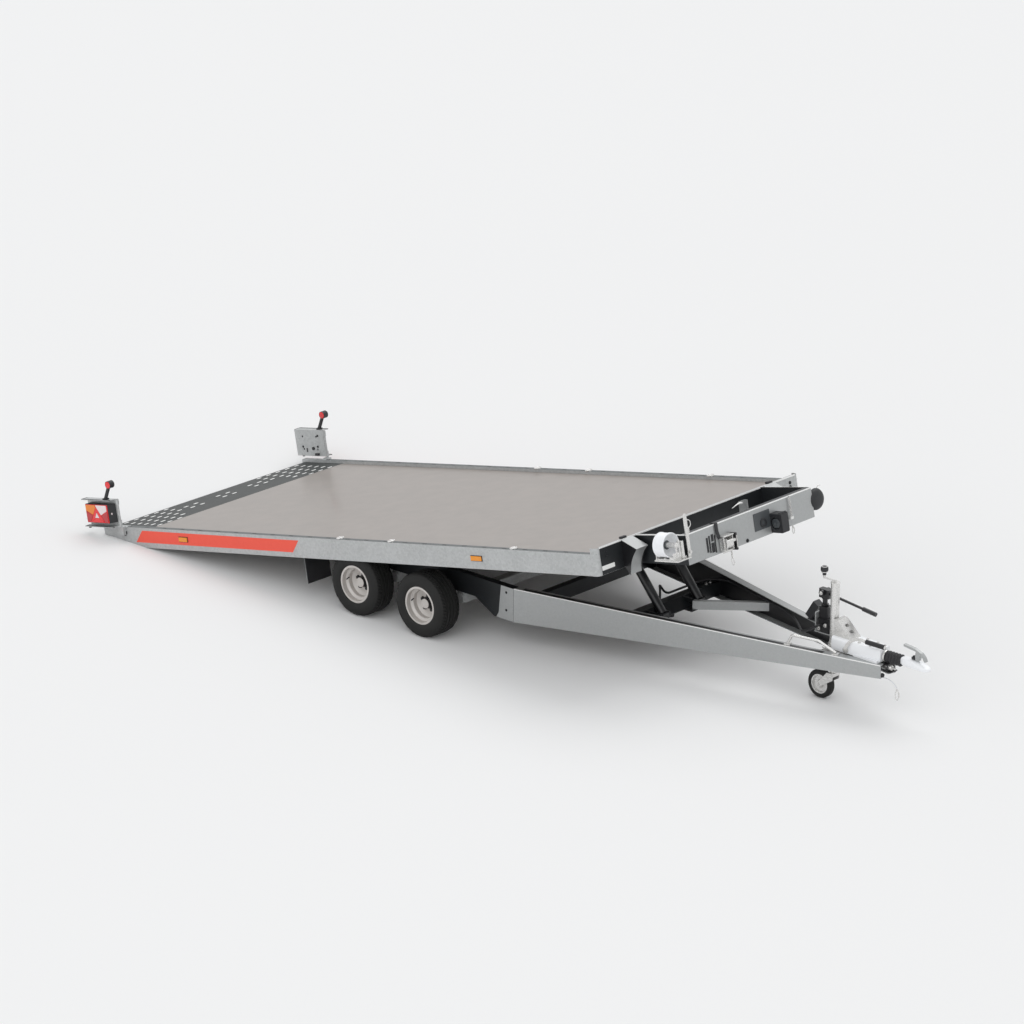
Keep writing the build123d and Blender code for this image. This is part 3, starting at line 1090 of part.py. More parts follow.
BRAKE_Y = -HOUSING_WIDE / 2
BRAKE_X = along(BRAKE_AHEAD)
with BuildPart() as handbrake_lever:
    with BuildSketch(Plane.XZ.offset(-BRAKE_Y)):
        with Locations((BRAKE_X, BRAKE_Z)):
            Circle(22)
    extrude(amount=8)
    with BuildSketch(Plane.XZ.offset(-BRAKE_Y + 8)):
        with BuildLine():
            ThreePointArc((BRAKE_X - 12, BRAKE_Z), (BRAKE_X + 44, BRAKE_Z + 88),
                          (BRAKE_X + 160, BRAKE_Z + 118))
            Line((BRAKE_X + 160, BRAKE_Z + 118), (BRAKE_X + 196, BRAKE_Z + 118))
            Line((BRAKE_X + 196, BRAKE_Z + 118), (BRAKE_X + 196, BRAKE_Z + 98))
            Line((BRAKE_X + 196, BRAKE_Z + 98), (BRAKE_X + 160, BRAKE_Z + 98))
            ThreePointArc((BRAKE_X + 160, BRAKE_Z + 98), (BRAKE_X + 60, BRAKE_Z + 72),
                          (BRAKE_X + 14, BRAKE_Z))
            Line((BRAKE_X + 14, BRAKE_Z), (BRAKE_X - 12, BRAKE_Z))
        make_face()
    extrude(amount=8)
    with BuildSketch(Plane.YZ.offset(BRAKE_X + 190)):
        with Locations((BRAKE_Y - 12, BRAKE_Z + 108)):
            Circle(15)
    extrude(amount=BRAKE_GRIP)
    fillet(handbrake_lever.faces().sort_by(Axis.X)[-1].edges(), 8)
write(handbrake_lever, "handbrake_lever")

handle_face = drawbar_plane(DRAWBAR_FLANGE / 2)


def beam_side(ahead, above):
    """Place on the drawbar's side plane so far ahead of the shaft and above the beam's top."""
    return ((ahead - SEAM_AHEAD) / cos(DRAWBAR_ANGLE), drawbar_top(ahead) + above)


with BuildPart() as grab_handle:
    with BuildLine(handle_face) as handle_line:
        bent = Polyline(beam_side(HANDLE_REAR, HANDLE_R + 4), beam_side(HANDLE_REAR + 30, HANDLE_RISE),
                        beam_side(HANDLE_FRONT - 120, HANDLE_RISE - 4), beam_side(HANDLE_FRONT, HANDLE_R + 4))
        fillet(bent.vertices().sort_by(Axis.X)[1:3], 30)
    with BuildSketch(Plane(origin=handle_line.line @ 0, z_dir=handle_line.line % 0)):
        Circle(HANDLE_R)
    sweep()
    for ahead in (HANDLE_REAR, HANDLE_FRONT):
        with Locations(handle_face.location * Pos(*beam_side(ahead, 5.0), 0)):
            Box(44, 9, 40)
write(grab_handle, "grab_handle")

# ---------------------------------------------------------------- hand pump
PUMP_X = along(PUMP_AHEAD)
PUMP_SEAT = drawbar_top(PUMP_AHEAD - 70.0) + TOUCH_GAP
with BuildPart() as pump_bracket:
    with BuildSketch(Plane.XY.offset(PUMP_SEAT)):
        with BuildLine():
            Polyline((PUMP_X - 70, PUMP_Y - 46), (PUMP_X + 60, PUMP_Y - 46),
                     (PUMP_X + 60, drawbar_half(PUMP_AHEAD + 60) - 8),
                     (PUMP_X - 70, drawbar_half(PUMP_AHEAD - 70) - 8), close=True)
        make_face()
    extrude(amount=6)
    with BuildSketch(Plane.XY.offset(PUMP_SEAT + 6)):
        with Locations((PUMP_X - 66, PUMP_Y)):
            Rectangle(8, 84)
    extrude(amount=130)
write(pump_bracket, "pump_bracket")

PUMP_FOOT = PUMP_SEAT + 6.0
with BuildPart() as hand_pump:
    with BuildSketch(Plane.XY.offset(PUMP_FOOT)):
        with Locations((PUMP_X, PUMP_Y)):
            RectangleRounded(110, 84, 14)
    extrude(amount=92)
    with BuildSketch(Plane.XY.offset(PUMP_FOOT + 92)):
        with Locations((PUMP_X - 10, PUMP_Y)):
            RectangleRounded(78, 60, 8)
    extrude(amount=86)
    with BuildSketch(Plane.XY.offset(PUMP_FOOT + 178)):
        with Locations((PUMP_X - 20, PUMP_Y)):
            Circle(17)
    extrude(amount=70)
    with BuildSketch(Plane.XY.offset(PUMP_FOOT + 236)):
        with Locations((PUMP_X - 18, PUMP_Y)):
            RectangleRounded(84, 46, 8)
    extrude(amount=62)
    with BuildSketch(Plane.XZ.offset(-PUMP_Y - 42)):
        with Locations((PUMP_X - 24, PUMP_FOOT + 276)):
            Circle(20)
    extrude(amount=84)
write(hand_pump, "hand_pump")

LEVER_X = PUMP_X + 25.5
LEVER_Z = PUMP_FOOT + 268.0
with BuildPart() as pump_lever:
    with BuildSketch(Plane(origin=(LEVER_X, PUMP_Y, LEVER_Z), x_dir=(0, 1, 0),
                           z_dir=(cos(LEVER_FALL), 0, -sin(LEVER_FALL)))):
        Circle(9)
    extrude(amount=LEVER_LONG)
    with BuildSketch(Plane(origin=(LEVER_X + (LEVER_LONG - 100) * cos(LEVER_FALL), PUMP_Y,
                                   LEVER_Z - (LEVER_LONG - 100) * sin(LEVER_FALL)), x_dir=(0, 1, 0),
                           z_dir=(cos(LEVER_FALL), 0, -sin(LEVER_FALL)))):
        Circle(15)
    extrude(amount=110)
write(pump_lever, "pump_lever")

VALVE_X = along(VALVE_AHEAD)
VALVE_Y = drawbar_half(VALVE_AHEAD) - DRAWBAR_FLANGE / 2 - 4
with BuildPart() as valve_box:
    with BuildSketch(Plane.XY.offset(drawbar_top(VALVE_AHEAD - 30.0) + TOUCH_GAP)):
        with Locations((VALVE_X, VALVE_Y)):
            Rectangle(60, 44)
    extrude(amount=8)
    with Locations(Location((VALVE_X + 12, VALVE_Y, drawbar_top(VALVE_AHEAD) + 74), (0, 32, 0))):
        Box(56, 62, 128)
write(valve_box, "valve_box")


def hose_point(ahead, z):
    """Place of the hose beside the left drawbar beam's web."""
    return (along(ahead), drawbar_half(ahead) - HOSE_IN, z)


HOSE_CROSS_X = LIFT_X - LIFT_BEAM_WIDE / 2 - 6.0
HOSE_CROSS_Z = LIFT_BEAM_TOP + 18.0
HOSE_END = (LIFT_X + 6.0, -58.0, LIFT_BEAM_TOP + SEAT_GAP)
HOSE_POINTS = [(PUMP_X - 10, PUMP_Y - 42 - SEAT_GAP, PUMP_FOOT + 60),
               (PUMP_X - 10, PUMP_Y - 90, PUMP_FOOT + 60), (along(2900), 60, 386),
               hose_point(2600, 376), hose_point(1860, 384), (HOSE_CROSS_X, 470, HOSE_CROSS_Z),
               (HOSE_CROSS_X, 60, HOSE_CROSS_Z), (HOSE_CROSS_X, -10, HOSE_CROSS_Z + 90),
               (HOSE_END[0], -56, HOSE_CROSS_Z + 84), HOSE_END]
with BuildPart() as hydraulic_hose:
    with BuildLine() as hose_line:
        FilletPolyline(*HOSE_POINTS, radius=tube_bends(HOSE_POINTS))
    with BuildSketch(Plane(origin=hose_line.line @ 0, z_dir=hose_line.line % 0)):
        Circle(HOSE_R)
    sweep()
write(hydraulic_hose, "hydraulic_hose")

# ================================================================ fittings of the bed
FLAP_U = CROSS_PLACES[4] + CROSS_WIDTH / 2
with BuildPart() as mudflaps:
    for side in (-1, 1):
        with BuildSketch(Plane.YZ.offset(FLAP_U)):
            with Locations((side * (FLAP_OUT - FLAP_WIDE / 2), (DECK_FOOT + FLAP_FOOT) / 2)):
                Rectangle(FLAP_WIDE, DECK_FOOT - FLAP_FOOT)
        extrude(amount=FLAP_THICK)
write_on_bed(mudflaps, "mudflaps")

# ---------------------------------------------------------------- winch
DRUM_U = FRONT_FACE + WINCH_AHEAD
DRUM_Y = -BAR_HALF - WINCH_OUT
WINCH_REAR = DRUM_U - WINCH_LONG / 2
with BuildPart() as winch_frame:
    with BuildSketch(Plane.XY.offset(WINCH_SEAT)):
        with Locations((DRUM_U + 5, -BAR_HALF)):
            Rectangle(WINCH_LONG + 70, WINCH_WIDE, align=(Align.CENTER, Align.MAX))
    extrude(amount=WINCH_PLATE)
    with BuildSketch(Plane.YZ.offset(WINCH_REAR - SIDE_GAP - WINCH_PLATE)):
        with Locations((DRUM_Y, WINCH_SEAT)):
            Rectangle(90, WINCH_Z - WINCH_SEAT, align=(Align.CENTER, Align.MIN))
        with Locations((DRUM_Y, WINCH_Z)):
            Circle(45)
    extrude(amount=WINCH_PLATE)
    with BuildSketch(Plane.YZ.offset(WINCH_REAR - SIDE_GAP - 2)):
        with Locations((DRUM_Y, WINCH_Z)):
            Circle(WINCH_SHAFT_R)
    extrude(amount=WINCH_LONG - 10)
write_on_bed(winch_frame, "winch_frame")

with BuildPart() as winch_drum:
    with BuildSketch(Plane(origin=(WINCH_REAR, DRUM_Y, WINCH_Z), x_dir=(1, 0, 0),
                           z_dir=(0, -1, 0))):
        bore = WINCH_SHAFT_R + RUNNING
        with BuildLine():
            Polyline((0, bore), (0, WINCH_FLANGE_R), (WINCH_PLATE, WINCH_FLANGE_R),
                     (WINCH_PLATE, WINCH_BARREL_R), (WINCH_LONG - WINCH_PLATE, WINCH_BARREL_R),
                     (WINCH_LONG - WINCH_PLATE, WINCH_FLANGE_R), (WINCH_LONG, WINCH_FLANGE_R),
                     (WINCH_LONG, WINCH_BARREL_R - WINCH_PLATE), (30, WINCH_BARREL_R - WINCH_PLATE),
                     (30, bore), close=True)
        make_face()
    revolve(axis=Axis((0, DRUM_Y, WINCH_Z), (1, 0, 0)))
write_on_bed(winch_drum, "winch_drum")

with BuildPart() as release_lever:
    with BuildSketch(Plane.YZ.offset(BAR_FACE)):
        with Locations((RELEASE_Y, (RELEASE_FOOT + RELEASE_TOP) / 2)):
            SlotOverall(RELEASE_TOP - RELEASE_FOOT, RELEASE_WIDE, rotation=90)
    extrude(amount=RELEASE_THICK)
    with BuildSketch(Plane.YZ.offset(BAR_FACE + RELEASE_THICK)):
        with Locations((RELEASE_Y, RELEASE_FOOT + RELEASE_WIDE)):
            Circle(11)
    extrude(amount=14)
write_on_bed(release_lever, "release_lever")

with BuildPart() as strap_ratchet:
    with BuildSketch(Plane.YZ.offset(BAR_FACE)):
        with Locations((RATCHET_Y, RATCHET_FOOT + RATCHET_HIGH / 2)):
            Rectangle(RATCHET_WIDE, RATCHET_HIGH)
    extrude(amount=5)
    for end in (-1, 1):
        with BuildSketch(Plane.XZ.offset(-RATCHET_Y - end * (RATCHET_WIDE / 2 - 2.5) - 2.5)):
            with Locations((BAR_FACE + 32, RATCHET_FOOT + RATCHET_HIGH / 2)):
                Rectangle(60, RATCHET_HIGH)
        extrude(amount=5)
    for out, up, size in ((24, 26, 11), (42, 56, 15)):
        with BuildSketch(Plane.XZ.offset(-RATCHET_Y - RATCHET_WIDE / 2 + 2)):
            with Locations((BAR_FACE + out, RATCHET_FOOT + up)):
                Circle(size)
        extrude(amount=RATCHET_WIDE - 4)
write_on_bed(strap_ratchet, "strap_ratchet")

with BuildPart() as socket_block:
    with BuildSketch(Plane.YZ.offset(BAR_FACE)):
        with Locations((SOCKET_Y, SOCKET_UP)):
            RectangleRounded(SOCKET_WIDE, SOCKET_HIGH, 8)
    extrude(amount=SOCKET_DEEP)
    with BuildSketch(Plane.XZ.offset(-SOCKET_Y + SOCKET_WIDE / 2)):
        with Locations((BAR_FACE + SOCKET_DEEP / 2, SOCKET_UP)):
            Circle(SOCKET_DEEP / 2 - 6)
    extrude(amount=-SOCKET_BORE, mode=Mode.SUBTRACT)
write_on_bed(socket_block, "socket_block")

# ---------------------------------------------------------------- lamps
LAMP_BASE = RAIL_TOP + LAMP_FOOT
LAMP_TIP = LAMP_PIVOT_U - LAMP_FRAME_LONG
LAMP_BACK = LAMP_PIVOT_Y + LAMP_SHEET / 2       # lamp frame's outer face
KNUCKLE_R = LAMP_PIN_R + 5.0
MARKER_U = LAMP_TIP + MARKER_AHEAD
MARKER_UP = MARKER_HIGH - MARKER_R / 2       # marker's middle above the lamp frame
KNUCKLES = (LAMP_BASE + 24.0, LAMP_BASE + LAMP_FRAME_HIGH - 24.0)
KNUCKLE_LONG = 40.0
with BuildPart() as lamp_posts:
    for side in (-1, 1):
        with BuildSketch(Plane.XY.offset(POST_FOOT)):
            with Locations((LAMP_PIVOT_U, side * (BED_HALF + LAMP_PIVOT_OUT / 2 + 5))):
                Rectangle(54, LAMP_PIVOT_OUT + 10)
        extrude(amount=LAMP_BASE - SIDE_GAP - POST_FOOT)
        with BuildSketch(Plane.XY.offset(LAMP_BASE - SIDE_GAP)):
            with Locations((LAMP_PIVOT_U, side * LAMP_PIVOT_Y)):
                Circle(LAMP_PIN_R)
        extrude(amount=LAMP_FRAME_HIGH + SIDE_GAP)
write_on_bed(lamp_posts, "lamp_posts")


def build_lamp(side_name, side):
    """A lamp frame on its hinge, and the lamp and side marker that it carries."""

    def out(distance):
        return side * (LAMP_BACK + distance)

    with BuildPart() as lamp_frame:
        with BuildSketch(side_plane(side * LAMP_PIVOT_Y + LAMP_SHEET / 2)):
            with Locations(((LAMP_TIP + LAMP_PIVOT_U - LAMP_SET) / 2, LAMP_BASE + LAMP_FRAME_HIGH / 2)):
                Rectangle(LAMP_FRAME_LONG - LAMP_SET, LAMP_FRAME_HIGH)
                with GridLocations(150, 100, 2, 2):
                    Circle(8, mode=Mode.SUBTRACT)
        extrude(amount=LAMP_SHEET)
        for level in (LAMP_BASE, LAMP_BASE + LAMP_FRAME_HIGH - LAMP_SHEET):
            with BuildSketch(Plane.XY.offset(level)):
                with Locations(((LAMP_TIP + LAMP_TIP + LAMP_SHELF_LONG) / 2,
                                out(LAMP_SHELF / 2 - LAMP_SHEET / 2))):
                    Rectangle(LAMP_SHELF_LONG, LAMP_SHELF + LAMP_SHEET)
            extrude(amount=LAMP_SHEET)
        for level in KNUCKLES:
            with BuildSketch(Plane.XY.offset(level - KNUCKLE_LONG / 2)):
                with Locations((LAMP_PIVOT_U, side * LAMP_PIVOT_Y)):
                    Circle(KNUCKLE_R)
                    Circle(LAMP_PIN_R + RUNNING, mode=Mode.SUBTRACT)
            extrude(amount=KNUCKLE_LONG)
            with BuildSketch(Plane.XY.offset(level - KNUCKLE_LONG / 2)):
                with Locations((LAMP_PIVOT_U - LAMP_PIN_R - 8, side * LAMP_PIVOT_Y)):
                    Rectangle(14, LAMP_SHEET)
            extrude(amount=KNUCKLE_LONG)
    write_on_bed(lamp_frame, f"lamp_frame_{side_name}")
    with BuildPart() as lamp:
        with BuildSketch(Plane.XY.offset(LAMP_BASE + LAMP_UP)):
            with BuildLine():
                Polyline((LAMP_TIP + LAMP_INSET + 8, out(SEAT_GAP)), (LAMP_TIP + LAMP_INSET, out(LAMP_DEEP)),
                         (LAMP_TIP + LAMP_INSET + LAMP_LONG - 34, out(LAMP_DEEP)),
                         (LAMP_TIP + LAMP_INSET + LAMP_LONG, out(SEAT_GAP)), close=True)
            make_face()
        extrude(amount=LAMP_HIGH)
        with BuildSketch(Plane.XY.offset(LAMP_BASE + LAMP_FRAME_HIGH + SEAT_GAP)):
            with Locations((MARKER_U, out(MARKER_FOOT))):
                RectangleRounded(46, 34, 8)
        extrude(amount=10)
        with BuildSketch(Plane(origin=(MARKER_U, out(MARKER_FOOT), LAMP_BASE + LAMP_FRAME_HIGH + 8),
                               x_dir=(1, 0, -MARKER_LEAN), z_dir=(MARKER_LEAN, 0, 1))):
            RectangleRounded(26, 18, 6)
        extrude(amount=MARKER_HIGH - 25)
        with BuildSketch(side_plane(out(MARKER_FOOT))):
            with Locations((MARKER_U + MARKER_LEAN * MARKER_UP, LAMP_BASE + LAMP_FRAME_HIGH + MARKER_UP)):
                Circle(MARKER_R)
        extrude(amount=MARKER_DEEP / 2, both=True)
    write_on_bed(lamp, f"lamp_{side_name}")


for side_name, side in (("right", -1), ("left", 1)):
    build_lamp(side_name, side)
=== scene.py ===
"""A tilt-bed car transporter trailer in a pale studio, its bed tipped to the ground.

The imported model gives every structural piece. This script dresses those pieces with
procedural finishes and adds what is too fine for them: tyre tread, lenses, reflectors,
fasteners, chains, grips and the breakaway cable. Sizes are millimetres until a mesh is made.
"""
import json
import logging
import math
from collections.abc import Sequence
from dataclasses import dataclass
from enum import Enum

import bmesh
import bpy
import numpy as np
from mathutils import Matrix, Vector


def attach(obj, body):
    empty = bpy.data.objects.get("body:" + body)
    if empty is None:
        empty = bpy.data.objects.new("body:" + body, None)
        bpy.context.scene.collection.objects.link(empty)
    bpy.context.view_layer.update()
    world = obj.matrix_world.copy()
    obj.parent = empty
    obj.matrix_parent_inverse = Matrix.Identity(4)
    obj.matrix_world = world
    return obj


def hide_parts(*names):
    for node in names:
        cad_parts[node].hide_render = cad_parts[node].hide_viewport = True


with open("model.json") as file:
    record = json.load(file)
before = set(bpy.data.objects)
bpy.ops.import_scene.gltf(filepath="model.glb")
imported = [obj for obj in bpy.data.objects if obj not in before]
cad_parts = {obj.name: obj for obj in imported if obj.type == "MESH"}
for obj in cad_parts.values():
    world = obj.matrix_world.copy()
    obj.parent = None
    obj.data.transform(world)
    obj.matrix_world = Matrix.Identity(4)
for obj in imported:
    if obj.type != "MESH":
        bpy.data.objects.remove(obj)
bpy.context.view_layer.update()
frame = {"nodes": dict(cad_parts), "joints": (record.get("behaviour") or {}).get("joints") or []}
MM = 0.001
SHARP_EDGE = math.radians(38.0)      # faces that meet more sharply than this keep their corner
ROUNDED_EDGE = math.radians(40.0)    # and edges sharper than this are rounded where a bevel is asked for
log = logging.getLogger("trailer")


# ---------------------------------------------------------------- shapes
class Axis(Enum):
    """The way that a turned shape's axis runs: which of (along, cosine, sine) go to x, y and z."""

    X = (0, 1, 2)
    Y = (2, 0, 1)
    Z = (1, 2, 0)


@dataclass
class Shape:
    """A mesh in the making: its points in millimetres and its faces as point numbers."""

    points: np.ndarray
    faces: list[tuple[int, ...]]

    def moved(self, x: float = 0.0, y: float = 0.0, z: float = 0.0) -> "Shape":
        """The same shape shifted by x, y and z."""
        return Shape(self.points + np.array([x, y, z]), self.faces)

    def turned(self, degrees: float, axis: str = "Z") -> "Shape":
        """The same shape turned about one of the main axes through the origin."""
        matrix = np.array(Matrix.Rotation(math.radians(degrees), 3, axis))
        return Shape(self.points @ matrix.T, self.faces)

    def mirrored(self) -> "Shape":
        """The same shape on the other side of the trailer, its faces turned round to match."""
        return Shape(self.points * np.array([1.0, -1.0, 1.0]), [face[::-1] for face in self.faces])

    def repeated(self, offsets: np.ndarray | Sequence[Sequence[float]]) -> "Shape":
        """Copies of the shape, one at each offset.

        Args:
            offsets: One row of x, y and z for each copy.

        Returns:
            All the copies as one shape.
        """
        count = len(self.points)
        points = (self.points[None, :, :] + np.asarray(offsets, float)[:, None, :]).reshape(-1, 3)
        faces = [tuple(k + copy * count for k in face)
                 for copy in range(len(offsets)) for face in self.faces]
        return Shape(points, faces)


def joined(*shapes: Shape) -> Shape:
    """One shape made of several."""
    starts = np.cumsum([0] + [len(shape.points) for shape in shapes]).tolist()
    faces = [tuple(k + start for k in face) for shape, start in zip(shapes, starts) for face in shape.faces]
    return Shape(np.concatenate([shape.points for shape in shapes]), faces)


def both_sides(shape: Shape) -> Shape:
    """A shape together with its mirror image on the trailer's other side."""
    return joined(shape, shape.mirrored())


def lattice(points: np.ndarray, round_rows: bool = False) -> Shape:
    """A surface through rings of points, closed by flat ends unless its last ring joins its first.

    Each face joins point j of ring i to its neighbours (i + 1, j), (i + 1, j + 1) and (i, j + 1).

    Args:
        points: Grid of points, rings by points of each ring by 3.
        round_rows: Whether the last ring joins the first.

    Returns:
        The surface as a shape.
    """
    rows, columns = points.shape[:2]
    i, j = np.meshgrid(np.arange(rows - (not round_rows)), np.arange(columns), indexing="ij")
    after_i, after_j = (i + 1) % rows, (j + 1) % columns
    quads = np.stack([i * columns + j, after_i * columns + j,
                      after_i * columns + after_j, i * columns + after_j], -1)
    faces = [tuple(quad) for quad in quads.reshape(-1, 4).tolist()]
    if not round_rows:
        faces.append(tuple(range(columns)))
        faces.append(tuple(range((rows - 1) * columns, rows * columns))[::-1])
    return Shape(points.reshape(-1, 3), faces)


def lathe(profile: Sequence[tuple[float, float]], axis: Axis, steps: int = 48, closed: bool = False) -> Shape:
    """A profile turned about an axis: each of its points (t, r) goes to t, r cos(a) and r sin(a).

    Args:
        profile: Distance along the axis and radius of each point.
        axis: The axis it is turned about, through the origin.
        steps: How many flats the circle has.
        closed: Whether the profile's last point joins its first, as in a ring.

    Returns:
        The turned shape.
    """
    along, radius = np.array(profile, float).T
    angle = np.linspace(0.0, 2.0 * math.pi, steps, endpoint=False)
    grid = np.stack([np.repeat(along[:, None], steps, 1), radius[:, None] * np.cos(angle),
                     radius[:, None] * np.sin(angle)], -1)
    return lattice(grid[..., list(axis.value)], round_rows=closed)


def prism(outline: Sequence[Sequence[float]], low: float, high: float, axis: Axis = Axis.Z) -> Shape:
    """An outline carried straight along an axis.

    Args:
        outline: Corners, in the two directions across the axis taken in the order x, y, z.
        low: Where it starts along the axis.
        high: Where it ends along the axis.
        axis: The axis it is carried along.

    Returns:
        The closed prism.
    """
    flat = np.array(outline, float)
    place = "XYZ".index(axis.name)
    ends = [np.insert(flat, place, level, axis=1) for level in (low, high)]
    return lattice(np.stack(ends))


def block(x: Sequence[float], y: Sequence[float], z: Sequence[float]) -> Shape:
    """A box between the given limits; its edges are rounded when it is made a piece."""
    return prism([(x[0], y[0]), (x[1], y[0]), (x[1], y[1]), (x[0], y[1])], z[0], z[1])


def smooth(points: Sequence[Sequence[float]], per_span: int = 6) -> np.ndarray:
    """A curve through points: each span is the cubic with the slope of its neighbours' chord.

    Args:
        points: The points that it passes.
        per_span: How many steps each span is cut into.

    Returns:
        The curve's points.
    """
    p = np.array(points, float)
    padded = np.concatenate([[2 * p[0] - p[1]], p, [2 * p[-1] - p[-2]]])
    a, b, c, d = padded[:-3, None], padded[1:-2, None], padded[2:-1, None], padded[3:, None]
    t = np.linspace(0.0, 1.0, per_span, endpoint=False)[None, :, None]
    curve = 0.5 * (2 * b + (c - a) * t + (2 * a - 5 * b + 4 * c - d) * t**2 + (3 * b - a - 3 * c + d) * t**3)
    return np.concatenate([curve.reshape(-1, p.shape[1]), p[-1:]])


def tube(path: np.ndarray | Sequence[Sequence[float]], radius: float | np.ndarray, side: Sequence[float],
         sides: int = 12, ring: bool = False, flat: float = 1.0) -> Shape:
    """A round bar along a path: at each path point a circle stands square to the path.

    Args:
        path: Points that the bar's middle follows.
        radius: Its radius, or one for each path point.
        side: A direction that the path never runs along, for its circles to line up with.
        sides: How many flats its circle has.
        ring: Whether the path's end joins its start.
        flat: Its thickness across the side direction as a share of that along it.

    Returns:
        The bar as a closed shape.
    """
    path = np.asarray(path, float)
    run = np.roll(path, -1, 0) - np.roll(path, 1, 0) if ring else np.gradient(path, axis=0)
    run /= np.linalg.norm(run, axis=1, keepdims=True)
    across = np.cross(np.asarray(side, float), run)
    across /= np.linalg.norm(across, axis=1, keepdims=True)
    other = np.cross(run, across)
    angle = np.linspace(0.0, 2.0 * math.pi, sides, endpoint=False)
    size = np.broadcast_to(np.asarray(radius, float), (len(path),))[:, None, None]
    ringed = (across[:, None, :] * np.cos(angle)[None, :, None] * flat
              + other[:, None, :] * np.sin(angle)[None, :, None])
    return lattice(path[:, None, :] + size * ringed, round_rows=ring)


def bolt_head(axis: Axis, size: float = 8.0, high: float = 6.0) -> Shape:
    """A washer with a hexagonal head on it, standing along the axis from zero."""
    washer = lathe([(0.0, size * 1.35), (1.6, size * 1.35), (2.0, size * 1.2)], axis, 24)
    head = lathe([(1.8, size), (high, size), (high + 0.8, size * 0.86)], axis, 6)
    return joined(washer, head)


# ---------------------------------------------------------------- frames that pieces are drawn in
@dataclass(frozen=True)
class Place:
    """A frame in which pieces are drawn: x forward, y left and z up, before it is tipped.

    Its origin is in metres, and its tilt is in radians, nose up.
    """

    x: float = 0.0
    z: float = 0.0
    tilt: float = 0.0

    def matrix(self) -> np.ndarray:
        """The turn from this frame to the trailer's own."""
        c, s = math.cos(self.tilt), math.sin(self.tilt)
        return np.array([[c, 0.0, -s], [0.0, 1.0, 0.0], [s, 0.0, c]])

    def out(self, points: np.ndarray) -> np.ndarray:
        """Points of this frame, in millimetres, as metres in the trailer's own frame."""
        return points * MM @ self.matrix().T + np.array([self.x, 0.0, self.z])

    def box(self, node: str) -> tuple[np.ndarray, np.ndarray]:
        """The lowest and highest corners of a node, measured in this frame in millimetres."""
        mesh = frame["nodes"][node].data
        places = np.empty(len(mesh.vertices) * 3, np.float32)
        mesh.vertices.foreach_get("co", places)
        local = (places.reshape(-1, 3) - np.array([self.x, 0.0, self.z])) @ self.matrix() / MM
        return local.min(0), local.max(0)


TILT_JOINT = next(joint for joint in frame["joints"] if joint["name"] == "bed_tilt")
SHAFT = TILT_JOINT["pos_m"]
BED = Place(SHAFT[0], SHAFT[2], math.radians(TILT_JOINT["range_deg"][1]))
CHASSIS = Place(SHAFT[0])


# ---------------------------------------------------------------- finishes
def linear(code: str) -> tuple[float, float, float, float]:
    """Turn an sRGB hex colour into linear values.

    Args:
        code: The colour, such as "#a9abad".

    Returns:
        Red, green, blue and full alpha, linear.
    """
    value = np.array([int(code[k:k + 2], 16) / 255.0 for k in (1, 3, 5)])
    flat = np.where(value <= 0.04045, value / 12.92, ((value + 0.055) / 1.055) ** 2.4)
    return (*flat.tolist(), 1.0)


def add_node(tree: bpy.types.NodeTree, kind: str, settings: dict | None = None,
             links: dict | None = None) -> bpy.types.Node:
    """Add one node to a tree.

    Args:
        tree: The material's or world's node tree.
        kind: The node's type.
        settings: Values for its own settings or its inputs, by name or number.
        links: Outputs that feed its inputs, by name or number.

    Returns:
        The new node.
    """
    node = tree.nodes.new(kind)
    for name, value in (settings or {}).items():
        if isinstance(name, int) or name in node.inputs.keys():
            node.inputs[name].default_value = value
        else:
            setattr(node, name, value)
    for name, output in (links or {}).items():
        tree.links.new(output, node.inputs[name])
    return node


@dataclass(frozen=True)
class Finish:
    """A plain finish with a fine grain: moulded plastic, rubber or sprayed paint.

    The grain mixes two near shades, shifts the roughness and lifts the surface a little.
    """

    label: str
    colour: str
    shade: str
    roughness: float = 0.5
    spread: float = 0.1
    metallic: float = 0.0
    grain: float = 6.0       # size of the grain, mm
    lift: float = 0.05       # height of the grain, mm
    coat: float = 0.0
    specular: float = 0.5

    def pattern(self, tree: bpy.types.NodeTree, where: bpy.types.NodeSocket) -> bpy.types.NodeSocket:
        """The grain, from 0 to 1, over the surface.

        Args:
            tree: The material's node tree.
            where: The place on the object, in metres.

        Returns:
            The output that holds the grain.
        """
        noise = add_node(tree, "ShaderNodeTexNoise", {"Scale": 1.0 / (self.grain * MM), "Detail": 4.0},
                         {"Vector": where})
        return noise.outputs["Fac"]

    def build(self) -> bpy.types.Material:
        """Make the material.

        Returns:
            The finished material.
        """
        material = bpy.data.materials.new(self.label)
        material.use_nodes = True
        tree = material.node_tree
        tree.nodes.clear()
        where = add_node(tree, "ShaderNodeTexCoord").outputs["Object"]
        grain = self.pattern(tree, where)
        tint = add_node(tree, "ShaderNodeMix",
                        {"data_type": "RGBA", 6: linear(self.colour), 7: linear(self.shade)}, {0: grain})
        rough = add_node(tree, "ShaderNodeMapRange", {"To Min": max(0.02, self.roughness - self.spread),
                                                      "To Max": min(1.0, self.roughness + self.spread)},
                         {"Value": grain})
        bump = add_node(tree, "ShaderNodeBump", {"Strength": 0.6, "Distance": self.lift * MM},
                        {"Height": grain})
        shader = add_node(tree, "ShaderNodeBsdfPrincipled",
                          {"Metallic": self.metallic, "Coat Weight": self.coat, "Coat Roughness": 0.08,
                           "Specular IOR Level": self.specular},
                          {"Base Color": tint.outputs[2], "Roughness": rough.outputs[0],
                           "Normal": bump.outputs["Normal"]})
        add_node(tree, "ShaderNodeOutputMaterial", links={"Surface": shader.outputs[0]})
        return material


